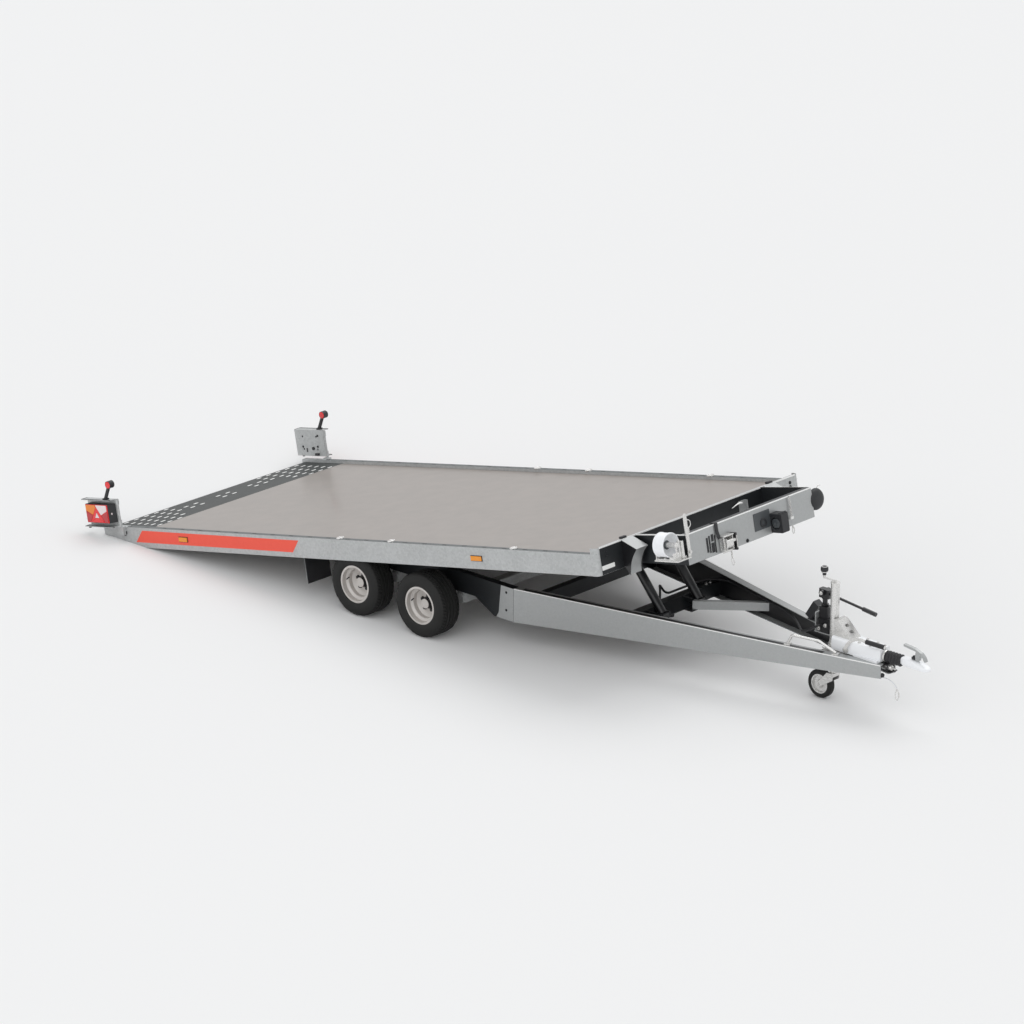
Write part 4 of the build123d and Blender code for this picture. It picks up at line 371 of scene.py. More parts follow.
@dataclass(frozen=True)
class SpangledZinc(Finish):
    """Hot-dip galvanised steel: dull grey with zinc crystals some 14 mm across and a fine frost."""

    crystal: float = 14.0    # across one zinc crystal, mm

    def pattern(self, tree: bpy.types.NodeTree, where: bpy.types.NodeSocket) -> bpy.types.NodeSocket:
        """Crystals, each of one even tone, with a fine frost and broad clouds over them.

        Args:
            tree: The material's node tree.
            where: The place on the object, in metres.

        Returns:
            The output that holds the grain.
        """
        cells = add_node(tree, "ShaderNodeTexVoronoi", {"Scale": 1.0 / (self.crystal * MM)},
                         {"Vector": where})
        tone = add_node(tree, "ShaderNodeSeparateColor", links={"Color": cells.outputs["Color"]})
        frost = add_node(tree, "ShaderNodeTexNoise", {"Scale": 1.0 / (self.grain * MM), "Detail": 5.0},
                         {"Vector": where})
        cloud = add_node(tree, "ShaderNodeTexNoise", {"Scale": 4.0, "Detail": 2.0}, {"Vector": where})
        fine = add_node(tree, "ShaderNodeMix", {0: 0.6}, {2: tone.outputs[0], 3: frost.outputs["Fac"]})
        mixed = add_node(tree, "ShaderNodeMix", {0: 0.35}, {2: fine.outputs[0], 3: cloud.outputs["Fac"]})
        return mixed.outputs[0]


@dataclass(frozen=True)
class DrawnSteel(Finish):
    """Bright steel drawn or turned, with fine lines along one direction and a soft, stretched gloss."""

    lines: tuple[float, float, float] = (0.06, 1.0, 1.0)     # the lines run along x, 17 grains long

    def pattern(self, tree: bpy.types.NodeTree, where: bpy.types.NodeSocket) -> bpy.types.NodeSocket:
        """Noise drawn out into lines.

        Args:
            tree: The material's node tree.
            where: The place on the object, in metres.

        Returns:
            The output that holds the grain.
        """
        drawn = add_node(tree, "ShaderNodeMapping", {"Scale": self.lines}, {"Vector": where})
        noise = add_node(tree, "ShaderNodeTexNoise", {"Scale": 1.0 / (self.grain * MM), "Detail": 5.0},
                         {"Vector": drawn.outputs[0]})
        return noise.outputs["Fac"]


@dataclass(frozen=True)
class FilmFacedPlywood(Finish):
    """Phenol film on birch plywood, pressed with a wire-mesh print: a glossy brown-grey floor.

    The print's pitch is 5 mm. It is drawn at 11 mm, as fine as shows from some metres away.
    """

    pitch: float = 11.0      # between ridges, mm
    wave: float = 0.314      # the wave texture's own pitch at a scale of 1

    def pattern(self, tree: bpy.types.NodeTree, where: bpy.types.NodeSocket) -> bpy.types.NodeSocket:
        """Two sets of ridges that cross, with the film's cloudy tone under them.

        Args:
            tree: The material's node tree.
            where: The place on the object, in metres.

        Returns:
            The output that holds the grain.
        """
        ridges = [add_node(tree, "ShaderNodeTexWave",
                           {"wave_type": "BANDS", "bands_direction": direction,
                            "Scale": self.wave / (self.pitch * MM), "Distortion": 0.3, "Detail": 1.0},
                           {"Vector": where}).outputs["Fac"]
                  for direction in ("X", "Y")]
        crossed = add_node(tree, "ShaderNodeMath", {"operation": "MAXIMUM"}, {0: ridges[0], 1: ridges[1]})
        cloud = add_node(tree, "ShaderNodeTexNoise", {"Scale": 9.0, "Detail": 6.0}, {"Vector": where})
        mixed = add_node(tree, "ShaderNodeMix", {0: 0.55}, {2: crossed.outputs[0], 3: cloud.outputs["Fac"]})
        return mixed.outputs[0]


@dataclass(frozen=True)
class PrismLens(Finish):
    """Moulded acrylic lens: clear-coated, with rows of small prisms behind its face."""

    prism: float = 9.0       # across one prism, mm: about twice a real one's 4 mm, so that it shows

    def pattern(self, tree: bpy.types.NodeTree, where: bpy.types.NodeSocket) -> bpy.types.NodeSocket:
        """A grid of small pyramids.

        Args:
            tree: The material's node tree.
            where: The place on the object, in metres.

        Returns:
            The output that holds the grain.
        """
        cells = add_node(tree, "ShaderNodeTexVoronoi", {"distance": "CHEBYCHEV", "Randomness": 0.0,
                                                        "Scale": 1.0 / (self.prism * MM)}, {"Vector": where})
        return cells.outputs["Distance"]


class Finishes(Enum):
    """Every finish on the trailer.

    Each gives the material's name, its two near tones, roughness and how far that spreads, metal's
    share, the grain's size and height, and some of them a clear coat.
    """

    # Dipped sections: crystals of two greys that take the light unevenly, with no clear reflection.
    GALVANISED = SpangledZinc("hot_dip_galvanised_steel", "#9c9e9e", "#d0d2d2", 0.46, 0.12, 0.4, 2.2, 0.04)
    # Mill-coated sheet: an even, milky grey with a soft sheen and hardly any crystals.
    ROLLED_ZINC = Finish("rolled_zinc_magnesium_steel", "#a4a6a6", "#b6b8b8", 0.36, 0.05, 0.45, 14.0, 0.01)
    # Painted shade: galvanised parts under the bed, the winch bar and bolts on shaded faces, crystals so dark
    # that they read as one charcoal tone.
    SHADED_ZINC = SpangledZinc("painted_shade_galvanised_steel", "#1b1d1f", "#2b2e31", 0.42, 0.1, 0.3, 3.0, 0.03)
    # Rail tops: painted shade, a flat mid grey for the top flanges that read dark.
    DULL_TOP = SpangledZinc("painted_shade_rail_top", "#585c5c", "#6c7070", 0.5, 0.1, 0.25, 2.2, 0.03)
    # Near white: painted highlight along the sheets' top edges, and the bright steel of the latch hook and
    # the tail studs.
    BARE_EDGE = DrawnSteel("painted_highlight_and_bright_steel", "#eeeeec", "#fbfbfa", 0.3, 0.06, 0.1, 2.0, 0.01)
    # Plated fittings: bright and slightly warm, with lines that stretch each highlight.
    ZINC = DrawnSteel("bright_zinc_plated_steel", "#c4c3c1", "#f3f2f0", 0.26, 0.12, 0.75, 2.0, 0.01)
    # Sprayed castings: nearly white, even and softly glossy.
    CAST_SILVER = Finish("silver_sprayed_cast_steel", "#f3f5f8", "#fbfcfe", 0.3, 0.06, 0.05, 5.0, 0.03, 0.1)
    # Lacquered wheels: warm pale silver under a thin clear coat.
    WHEEL_SILVER = Finish("silver_lacquered_wheel", "#c6c1bc", "#d2cdc9", 0.36, 0.06, 0.25, 9.0, 0.02, 0.3)
    # Tyres: deep matt black that shows its blocks only by their shadows.
    TYRE = Finish("tyre_rubber", "#0d0d0c", "#171716", 0.72, 0.1, 0.0, 4.0, 0.1)
    # Seals, mudflaps and grips: matt charcoal, a shade above the tyres.
    RUBBER = Finish("moulded_black_rubber", "#1d1d1f", "#2b2b2e", 0.55, 0.1, 0.0, 3.0, 0.05)
    # The mudflaps' cut edges: dusty mid grey.
    GREY_RUBBER = Finish("weathered_grey_rubber", "#77797a", "#8c8e8f", 0.6, 0.1, 0.0, 5.0, 0.05)
    # Enamelled steel: black with a clear, smooth highlight.
    BLACK_PAINT = Finish("satin_black_enamel", "#121214", "#1d1d20", 0.34, 0.08, 0.0, 8.0, 0.02, 0.25)
    # Moulded boxes and knobs: black with a fine tooth that spreads the highlight.
    BLACK_PLASTIC = Finish("moulded_black_abs", "#202124", "#2c2d30", 0.5, 0.08, 0.0, 1.6, 0.03)
    # Moulded covers: slate grey, a step lighter than the steel behind them.
    SLATE_PLASTIC = Finish("moulded_slate_grey_abs", "#3d4144", "#4a4e51", 0.42, 0.08, 0.0, 1.6, 0.02, 0.2)
    # The floor: warm grey-brown, clouded, with the mesh print breaking up its gloss.
    PLYWOOD = FilmFacedPlywood("film_faced_birch_plywood", "#736b66", "#a59d97", 0.34, 0.08, 0.0, 4.0, 0.25,
                               0.1)
    # The ramp plate: dark grey, nearly flat, so that its bright studs stand out.
    TAIL_GREY = SpangledZinc("dark_grey_ramp_steel", "#2c2f2e", "#3b3f3e", 0.5, 0.1, 0.1, 2.5, 0.04)
    # Hydraulic rods: a sharp mirror.
    CHROME = DrawnSteel("hard_chromed_rod", "#c9cbcf", "#e2e4e8", 0.12, 0.05, 1.0, 3.0, 0.004)
    # The breakaway cable: pale wire seen through a clear sleeve.
    SHEATH = Finish("clear_sheathed_steel_cable", "#c9ccd0", "#dcdfe2", 0.35, 0.08, 0.2, 2.0, 0.02, 0.3)
    # The band on the side rails: an even orange-red with a low sheen.
    RED_PAINT = Finish("red_vinyl_band", "#ee4f3b", "#f55b47", 0.4, 0.05, 0.0, 30.0, 0.01)
    # Reflectors and lenses: a hard clear surface, with a net of prisms behind it.
    AMBER_REFLECTOR = PrismLens("amber_acrylic_reflector", "#f59a08", "#d97f02", 0.25, 0.08, 0.0, 4.0, 0.2,
                                0.5)
    WHITE_REFLECTOR = PrismLens("white_acrylic_reflector", "#f4f4f2", "#dededc", 0.25, 0.08, 0.0, 4.0, 0.2,
                                0.5)
    RED_LENS = PrismLens("red_acrylic_lens", "#c81f2b", "#96141d", 0.22, 0.08, 0.0, 4.0, 0.3, 0.6)
    RED_TRIANGLE = PrismLens("bright_red_reflector", "#f2222a", "#d9161f", 0.22, 0.06, 0.0, 4.0, 0.2, 0.6)
    AMBER_LENS = PrismLens("amber_acrylic_lens", "#f28a1c", "#d76d0c", 0.22, 0.08, 0.0, 4.0, 0.3, 0.6)
    CLEAR_LENS = PrismLens("clear_acrylic_lens", "#f3e6e6", "#d8c8cc", 0.18, 0.06, 0.0, 4.0, 0.3, 0.8)


class Paint:
    """Builds each finish once and hands it out."""

    def __init__(self) -> None:
        """Start with no finish built."""
        self.made: dict[Finishes, bpy.types.Material] = {}

    def __call__(self, finish: Finishes) -> bpy.types.Material:
        """The material of a finish."""
        if finish not in self.made:
            self.made[finish] = finish.value.build()
        return self.made[finish]


paint = Paint()


# ---------------------------------------------------------------- pieces
@dataclass(frozen=True)
class Fit:
    """How a piece is finished off and what it belongs to."""

    body: str
    finish: Finishes
    slot: str | None = None
    place: Place = CHASSIS
    bevel: float = 0.0       # rounding of its edges, mm
    stands_for: tuple[str, ...] = ()
    flat: bool = False       # whether its faces keep their corners


def on_bed(finish: Finishes, slot: str | None = None, bevel: float = 0.0, flat: bool = False,
           stands_for: tuple[str, ...] = ()) -> Fit:
    """How a piece is fitted that is drawn in the bed's frame and tips with the bed."""
    return Fit("bed", finish, slot, BED, bevel, stands_for, flat)


def on_chassis(finish: Finishes, slot: str | None = None, bevel: float = 0.0, flat: bool = False,
               stands_for: tuple[str, ...] = ()) -> Fit:
    """How a piece is fitted that is drawn level and stays with the chassis."""
    return Fit("chassis", finish, slot, CHASSIS, bevel, stands_for, flat)


def make(name: str, shape: Shape, fit: Fit) -> bpy.types.Object:
    """Make a shape a finished piece that rides on its body.

    Args:
        name: The piece's name.
        shape: Its points and faces, in millimetres in the fit's own frame.
        fit: How it is finished off and what it belongs to.

    Returns:
        The new object.
    """
    mesh = bpy.data.meshes.new(name)
    mesh.from_pydata(fit.place.out(shape.points).tolist(), [], shape.faces)
    work = bmesh.new()
    work.from_mesh(mesh)
    bmesh.ops.recalc_face_normals(work, faces=work.faces)
    work.to_mesh(mesh)
    work.free()
    mesh.materials.append(paint(fit.finish))
    piece = bpy.data.objects.new(name, mesh)
    bpy.context.scene.collection.objects.link(piece)
    if fit.bevel:
        rounding = piece.modifiers.new("rounded_edges", "BEVEL")
        rounding.width = fit.bevel * MM
        rounding.segments = 2
        rounding.limit_method = "ANGLE"
        rounding.angle_limit = ROUNDED_EDGE
        rounding.harden_normals = False
    if not fit.flat:
        mesh.shade_smooth()
        mesh.set_sharp_from_angle(angle=SHARP_EDGE)
    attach(piece, fit.body)
    if fit.stands_for:
        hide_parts(*fit.stands_for)
    log.info("%s: %d points on %s", name, len(shape.points), fit.body)
    return piece


@dataclass
class Sided:
    """Fittings of one side of the trailer, drawn for the right one."""

    side: str

    def place(self, shape: Shape) -> Shape:
        """The shape on this side."""
        return shape if self.side == "right" else shape.mirrored()

    def add(self, label: str, shape: Shape, fit: Fit) -> None:
        """Make a shape that is drawn for the right side a piece of this one."""
        make(f"{label}_{self.side}", self.place(shape), fit)


def dress(nodes: Sequence[str], finish: Finishes) -> None:
    """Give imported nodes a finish.

    Args:
        nodes: Names of the nodes.
        finish: The finish for all their surfaces.
    """
    for node in nodes:
        piece = frame["nodes"][node]
        for slot in piece.material_slots:
            slot.material = paint(finish)
        if not piece.material_slots:
            piece.data.materials.append(paint(finish))
        log.info("%s: %s", node, finish.value.label)


# ---------------------------------------------------------------- wheels
@dataclass
class RoadWheel:
    """A trailer tyre with its tread, and the wheel's bolts, hub cap, valve and rim edge."""

    axle: str
    side: str
    tread_half: float = 78.0
    shoulder_high: float = 6.0
    groove_deep: float = 6.5
    groove_half: float = 4.0
    grooves: tuple[float, ...] = (-44.0, -15.0, 15.0, 44.0)
    pitches: int = 56
    bolts: int = 5
    bolt_circle: float = 112.0
    disc_in: float = 9.5     # the disc's face behind the tyre's middle
    valve_out: float = 33.0
    rim_radius: float = 140.5
    rim_out: float = 80.0
    rim_wire: float = 4.6

    def __post_init__(self) -> None:
        """Read the tyre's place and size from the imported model."""
        self.body = f"wheel_{self.axle}_{self.side}"
        low, high = CHASSIS.box(f"tyre_{self.axle}_{self.side}")
        self.middle = (low + high) / 2.0
        self.radius = (high[2] - low[2]) / 2.0
        self.half = (high[1] - low[1]) / 2.0
        self.out = -1.0 if self.side == "right" else 1.0

    def section(self) -> np.ndarray:
        """The tyre's outline, from its inner bead over the tread to its outer bead.

        Returns:
            Place across the tyre and radius of each point.
        """
        wall = smooth([(68, 128), (79, 133), (91, 147), (self.half - 0.5, 172), (95, 194), (89, 211),
                       (83, 220), (self.tread_half, self.radius - self.shoulder_high)], 5)
        across = np.arange(-self.tread_half + 2.0, self.tread_half - 1.0, 2.4)
        crown = self.radius - self.shoulder_high * np.clip((np.abs(across) - 52.0) / 26.0, 0.0, 1.0) ** 2
        cut = np.abs(across[:, None] - np.array(self.grooves)[None, :]).min(1) < self.groove_half
        tread = np.stack([across, crown - self.groove_deep * cut], -1)
        return np.concatenate([wall * np.array([-1.0, 1.0]), tread, wall[::-1]])

    def tyre(self) -> Shape:
        """The tyre: its section turned about the axle, with slots cut across the shoulders.

        The radius at (t, a) is the section's, less a slot's depth where t is on a shoulder block
        and the share of a pitch at a, skewed with the place across, is near a half.

        Returns:
            The tyre as a closed ring.
        """
        section = self.section()
        steps = self.pitches * 6
        angle = np.linspace(0.0, 2.0 * math.pi, steps, endpoint=False)
        across, radius = section[:, 0:1], section[:, 1:2]
        share = (angle[None, :] * self.pitches / (2.0 * math.pi) + across / 60.0) % 1.0
        on_block = (np.abs(across) > 48.5) & (np.abs(across) < self.tread_half + 0.5) & (radius > 200.0)
        depth = np.where(on_block & (np.abs(share - 0.5) < 0.12), self.groove_deep * 0.8, 0.0)
        r = radius - depth
        grid = np.stack([r * np.cos(angle), np.repeat(across, steps, 1), r * np.sin(angle)], -1)
        return lattice(grid, round_rows=True).moved(*self.middle)

    def build(self) -> None:
        """Make the tyre, the bolts, the hub cap with its collar, the valve and the rim's edge."""
        tag = f"{self.axle}_{self.side}"
        make(f"tread_tyre_{tag}", self.tyre(),
             Fit(self.body, Finishes.TYRE, "tyre", stands_for=(f"tyre_{tag}",)))
        face = self.middle[1] - self.out * self.disc_in
        turn = np.radians(90.0 + 360.0 / self.bolts * np.arange(self.bolts))
        circle = self.bolt_circle / 2.0
        places = np.stack([self.middle[0] + circle * np.cos(turn), np.full(self.bolts, face),
                           self.middle[2] + circle * np.sin(turn)], -1)
        head = joined(lathe([(0, 15.5), (4, 13.5), (4.5, 12.4)], Axis.Y, 24),
                      lathe([(4, 12.4), (13.5, 12.4), (15, 10.6), (14, 7.0)], Axis.Y, 6))
        head = head if self.out > 0 else head.mirrored()
        make(f"wheel_bolts_{tag}", head.repeated(places), Fit(self.body, Finishes.BLACK_PAINT, "black_paint"))
        cap = lathe([(36, 34.5), (38.4, 34.5), (39.6, 33), (39.6, 27), (38.2, 25.6), (38.2, 0.6)], Axis.Y, 48)
        collar = lathe([(1.0, 45), (2.4, 45), (9, 36.5), (37, 35.2), (37, 34), (1.0, 34)], Axis.Y, 48,
                       closed=True)
        places = np.array([[self.middle[0], face, self.middle[2]]])
        for label, shape, finish, slot in (("hub_cap", cap, Finishes.WHEEL_SILVER, "wheel_silver"),
                                           ("hub_collar", collar, Finishes.BLACK_PAINT, "black_paint")):
            shape = shape if self.out > 0 else shape.mirrored()
            make(f"{label}_{tag}", shape.repeated(places), Fit(self.body, finish, slot))
        stem = np.array([[-103.0, 0.0, 14.0], [-98.0, self.out * 22.0, 12.0], [-93.0, self.out * 34.0, 11.0]])
        base = self.middle + np.array([0.0, self.out * self.valve_out, 0.0])
        make(f"valve_{tag}", tube(smooth(stem, 5) + base, 4.2, (1, 0, 0), 12),
             Fit(self.body, Finishes.RUBBER, "rubber"))
        ring = np.linspace(0.0, 2.0 * math.pi, 96, endpoint=False)
        circle = np.stack([np.cos(ring), np.zeros(96), np.sin(ring)], -1) * self.rim_radius
        edge = circle + self.middle + np.array([0.0, self.out * self.rim_out, 0.0])
        make(f"rim_edge_{tag}", tube(edge, self.rim_wire, (0, 1, 0), 10, ring=True),
             Fit(self.body, Finishes.WHEEL_SILVER, "wheel_silver"))


# ---------------------------------------------------------------- small shared shapes
def oval_path(long: float, wide: float, steps: int = 28) -> np.ndarray:
    """A stadium in the x-z plane: z is w/2 sin(a) pushed out by (l - w)/2, and x is w/2 cos(a)."""
    angle = np.linspace(0.0, 2.0 * math.pi, steps, endpoint=False)
    lift = (long - wide) / 2.0 * np.sign(np.sin(angle)) * (np.abs(np.sin(angle)) > 1e-6)
    return np.stack([wide / 2.0 * np.cos(angle), np.zeros(steps), wide / 2.0 * np.sin(angle) + lift], -1)


def chain(links: int, long: float = 26.0, wide: float = 16.0, wire: float = 2.4) -> Shape:
    """Welded chain hanging from the origin: every second link is turned a quarter.

    Args:
        links: How many links.
        long: Length of one link over its ends.
        wide: Width of one link.
        wire: Radius of its wire.

    Returns:
        The chain as one shape.
    """
    flat = tube(oval_path(long - 2 * wire, wide - 2 * wire, 20), wire, (0, 1, 0), 8, ring=True)
    pitch = long - 4.0 * wire
    places = np.stack([np.zeros(links), np.zeros(links), -long / 2.0 - pitch * np.arange(links)], -1)
    return joined(flat.repeated(places[0::2]), flat.turned(90.0).repeated(places[1::2]))


def snap_hook(long: float = 70.0, wide: float = 30.0, wire: float = 3.2) -> Shape:
    """A sprung snap hook in the x-z plane: a pear of wire, narrow at its eye, with a gate bar.

    Args:
        long: Height over the wire.
        wide: Width over the wire at its broad end.
        wire: Radius of the wire.

    Returns:
        The hook, its middle at the origin and its eye on top.
    """
    angle = np.linspace(0.0, 2.0 * math.pi, 40, endpoint=False)
    share = 1.0 - 0.22 * (1.0 + np.sin(angle))
    path = np.stack([(wide / 2.0 - wire) * share * np.cos(angle), np.zeros(40),
                     (long / 2.0 - wire) * np.sin(angle)], -1)
    gate = np.array([[wide / 2.0 - wire, 0.0, -long * 0.18], [wide * 0.36, 0.0, long * 0.2]])
    return joined(tube(path, wire, (0, 1, 0), 10, ring=True),
                  tube(smooth(gate, 4), wire * 1.35, (0, 1, 0), 10))


# ---------------------------------------------------------------- drawbar
@dataclass
class Breakaway:
    """The breakaway cable, which pulls the brakes on, and the snap hook at its end."""

    route: tuple[tuple[float, float, float], ...] = ((3630.0, -70.0, 306.1), (3685.0, -60.0, 308.3),
                                                     (3735.0, -55.0, 304.0), (3775.0, -52.0, 285.0),
                                                     (3798.0, -50.0, 255.0))
    radius: float = 2.5
    length: float = 0.187
    hook_middle: tuple[float, float, float] = (3798.0, -50.0, 211.0)

    def build(self) -> None:
        hook = make("snap_hook", snap_hook(84.0, 38.0, 3.0).moved(*self.hook_middle),
                    on_chassis(Finishes.ZINC, "zinc", stands_for=("breakaway_hook",)))
        line = bpy.data.curves.new("sheathed_cable", "CURVE")
        line.dimensions = "3D"
        line.bevel_depth = self.radius * MM
        line.bevel_resolution = 4
        line.resolution_u = 16
        line.use_fill_caps = True
        places = CHASSIS.out(np.array(self.route))
        spline = line.splines.new("NURBS")
        spline.points.add(len(places) - 1)
        spline.points.foreach_set("co", np.column_stack([places, np.ones(len(places))]).ravel())
        spline.order_u = 3
        spline.use_endpoint_u = True
        line.materials.append(paint(Finishes.SHEATH))
        cable = bpy.data.objects.new("sheathed_cable", line)
        bpy.context.scene.collection.objects.link(cable)
        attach(cable, "chassis")
        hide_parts("breakaway_cable")
        log.info("sheathed_cable: %d route points", len(places))


@dataclass
class DrawbarTrim:
    """Fasteners, painted shade, painted highlights and small fittings of the drawbar.

    Distances ahead are from the tilt shaft, and heights are from the ground.
    """

    half_rear: float = 750.0     # outside of the beams at the seam
    half_front: float = 80.0     # and at the nose
    seam: float = 1010.0
    nose: float = 3680.0
    top_rear: float = 445.0      # beams' top at the seam, and how far it falls to the nose
    top_fall: float = 52.0
    foot_rear: float = 200.0     # beams' underside at the seam, and how far it rises to the nose
    foot_rise: float = 100.0
    tube_up: float = 436.0       # middle of the drawing tube

    def share(self, ahead: float) -> float:
        """How far along the beams a place is: 0 at the seam, 1 at the nose."""
        return (ahead - self.seam) / (self.nose - self.seam)

    def outside(self, ahead: float, inset: float = 0.0) -> float:
        """Half the drawbar's width so far ahead, less an inset."""
        return self.half_rear + (self.half_front - self.half_rear) * self.share(ahead) - inset

    def top(self, ahead: float) -> float:
        """Height of the beams' tops so far ahead."""
        return self.top_rear - self.top_fall * self.share(ahead)

    def foot(self, ahead: float) -> float:
        """Height of the beams' undersides so far ahead."""
        return self.foot_rear + self.foot_rise * self.share(ahead)

    def corners(self, ahead: float, insets: tuple[float, float], low: float, high: float) -> list[tuple]:
        """The corners of a strip's end: so far ahead, between two insets and two heights."""
        near, far = self.outside(ahead, insets[0]), self.outside(ahead, insets[1])
        return [(ahead, near, low), (ahead, near, high), (ahead, far, high), (ahead, far, low)]

    def top_strip(self, ends: tuple[float, float], insets: tuple[float, float], low: float,
                  high: float) -> Shape:
        """A strip along a beam's top.

        Args:
            ends: How far ahead it starts and ends.
            insets: Its two edges, inward from the beam's outside.
            low: Its underside, above the beam's top.
            high: Its upper side, above the beam's top.

        Returns:
            The strip on the left beam.
        """
        return lattice(np.array([self.corners(ahead, insets, self.top(ahead) + low, self.top(ahead) + high)
                                 for ahead in ends]))

    def web_shade(self) -> Shape:
        """Painted shade inside a beam: a black sheet on the web's own trapezium, a millimetre thick, between
        the flanges.
        """
        insets, flange = (5.15, 6.4), 6.0
        return lattice(np.array([
            self.corners(ahead, insets, self.foot(ahead) + flange, self.top(ahead) - flange)
            for ahead in (self.seam + 4.0, self.nose - 6.0)]))

    def build(self) -> None:
        """Make the painted shade inside the beams, the seam's bolts, the painted highlights on the beams'
        tops, and the fittings at the nose.
        """
        make("web_painted_shade", both_sides(self.web_shade()), on_chassis(Finishes.BLACK_PAINT, "black_paint"))
        row = bolt_head(Axis.Y, 7.0, 5.0).repeated([[943.0, self.half_rear, up] for up in (401.0, 272.0)])
        make("seam_bolts", both_sides(row), on_chassis(Finishes.RUBBER, "rubber", flat=True))
        end = [(893.0, 443.0), (1008.0, 443.0), (1008.0, 202.0), (850.0, 202.0), (872.0, 240.0)]
        sheet = prism(end, self.half_rear, self.half_rear + 0.8, Axis.Y)
        make("rail_end_sheets", both_sides(sheet), on_chassis(Finishes.ROLLED_ZINC, "galvanised"))
        # Painted highlight: a near-white strip along each beam's top edge.
        edge = self.top_strip((self.seam + 2.0, self.nose - 4.0), (-0.5, 4.0), -5.0, 0.6)
        make("beam_top_highlights", both_sides(edge), on_chassis(Finishes.BARE_EDGE, "zinc"))
        tape = self.top_strip((self.seam + 60.0, self.nose - 420.0), (5.0, 40.0), -1.0, 0.8)
        make("beam_top_tape", tape.mirrored(), on_chassis(Finishes.BLACK_PAINT, "black_paint"))
        self.build_nose()
        self.build_crossmember()

    def build_nose(self) -> None:
        """Make the bellows' clamp, the brake's damper and yoke, end plugs, bolts, coupling and grip."""
        band = [(3655.0, 41.0), (3663.0, 43.0), (3671.0, 41.0)]
        clamp = lathe([(t, r - 3.0) for t, r in band] + band[::-1], Axis.X, 48, closed=True)
        make("bellows_clamp", clamp.moved(0, 0, self.tube_up), on_chassis(Finishes.ZINC, "zinc"))
        damper = joined(lathe([(3640.0, 16.0), (3643.0, 19.0), (3716.0, 19.0), (3720.0, 16.0)], Axis.X, 32),
                        lathe([(3720.0, 8.0), (3744.0, 8.0), (3746.0, 6.0)], Axis.X, 16))
        make("brake_damper", damper.moved(0, -8.0, 366.0), on_chassis(Finishes.ZINC, "zinc"))
        yoke = joined(block((3668.0, 3732.0), (-44.0, 34.0), (340.0, 346.0)),
                      block((3700.0, 3708.0), (-44.0, -36.0), (340.0, 398.0)),
                      block((3700.0, 3708.0), (26.0, 34.0), (340.0, 398.0)),
                      block((3640.0, 3700.0), (-38.0, 30.0), (386.0, 394.0)))
        make("nose_yoke", yoke, on_chassis(Finishes.BLACK_PAINT, "black_paint", bevel=1.5))
        cap = lathe([(3676.0, 15.0), (3686.0, 15.0), (3692.0, 12.0), (3696.0, 6.0)], Axis.X, 24)
        make("beam_end_plugs", cap.repeated([[0.0, y, 322.0] for y in (-64.0, 64.0)]),
             on_chassis(Finishes.RUBBER, "rubber"))
        lid = 491.8
        bolts = bolt_head(Axis.Z, 9.0, 7.0).repeated(
            [[x, y, lid] for x, half in ((3470.0, 46.0), (3560.0, 40.0), (3625.0, 30.0))
             for y in (-half, half)])
        make("housing_bolts", bolts, on_chassis(Finishes.ZINC, "zinc", flat=True))
        self.build_coupling()
        lock = joined(block((3880.0, 3912.0), (-15.0, 15.0), (474.2, 492.0)),
                      block((3886.0, 3906.0), (-9.0, 9.0), (491.0, 500.0)))
        make("coupling_lock", lock, on_chassis(Finishes.BLACK_PLASTIC, "black_plastic", bevel=3.0))
        self.build_grip()

    def build_grip(self) -> None:
        """Make the handbrake's grip: its radius at t is R + 0.9 cos(2 pi 14 t), which gives 14 ribs."""
        ribs, share = 14.0, np.linspace(0.0, 1.0, 60)
        radius = 16.0 + 0.9 * np.cos(2.0 * math.pi * ribs * share)
        grip = [(3558.0, 13.5), *zip(3560.0 + 152.0 * share, radius), (3716.0, 14.0), (3719.5, 9.0)]
        make("handbrake_grip", lathe(grip, Axis.X, 36).moved(0, -87.0, 532.0),
             on_chassis(Finishes.RUBBER, "rubber"))

    def build_coupling(self) -> None:
        """Make the cast coupling: a round drawtube and a head that widens and drops to its nose.

        Each section across it is a rounded rectangle, |y / half|^3 + |z / high|^3 = 1, and it is given
        by its place ahead, half width, top and foot. The head's underside is closed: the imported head
        that it stands for has the ball's socket.
        """
        steps = 40
        ends = np.array([
            (3296.0, 20.0, 462.0, 422.0), (3300.0, 25.0, 467.0, 417.0), (3800.0, 25.0, 467.0, 417.0),
            (3812.0, 30.0, 471.0, 413.0), (3826.0, 34.0, 473.4, 411.6), (3880.0, 37.0, 473.0, 411.4),
            (3912.0, 39.0, 470.0, 411.4), (3950.0, 39.6, 462.0, 411.4), (3985.0, 38.0, 450.0, 412.0),
            (4008.0, 31.0, 441.0, 415.0), (4020.0, 18.0, 434.0, 419.0), (4024.0, 3.0, 428.0, 424.0)])
        angle = np.linspace(0.0, 2.0 * math.pi, steps, endpoint=False)
        bend = [np.sign(f(angle)) * np.abs(f(angle)) ** (2.0 / 3.0) for f in (np.cos, np.sin)]
        middle, high = (ends[:, 2] + ends[:, 3]) / 2.0, (ends[:, 2] - ends[:, 3]) / 2.0
        grid = np.stack([np.repeat(ends[:, :1], steps, 1), ends[:, 1:2] * bend[0],
                         middle[:, None] + high[:, None] * bend[1]], -1)
        make("coupling_casting", lattice(grid),
             on_chassis(Finishes.CAST_SILVER, "zinc", stands_for=("coupling_head",)))

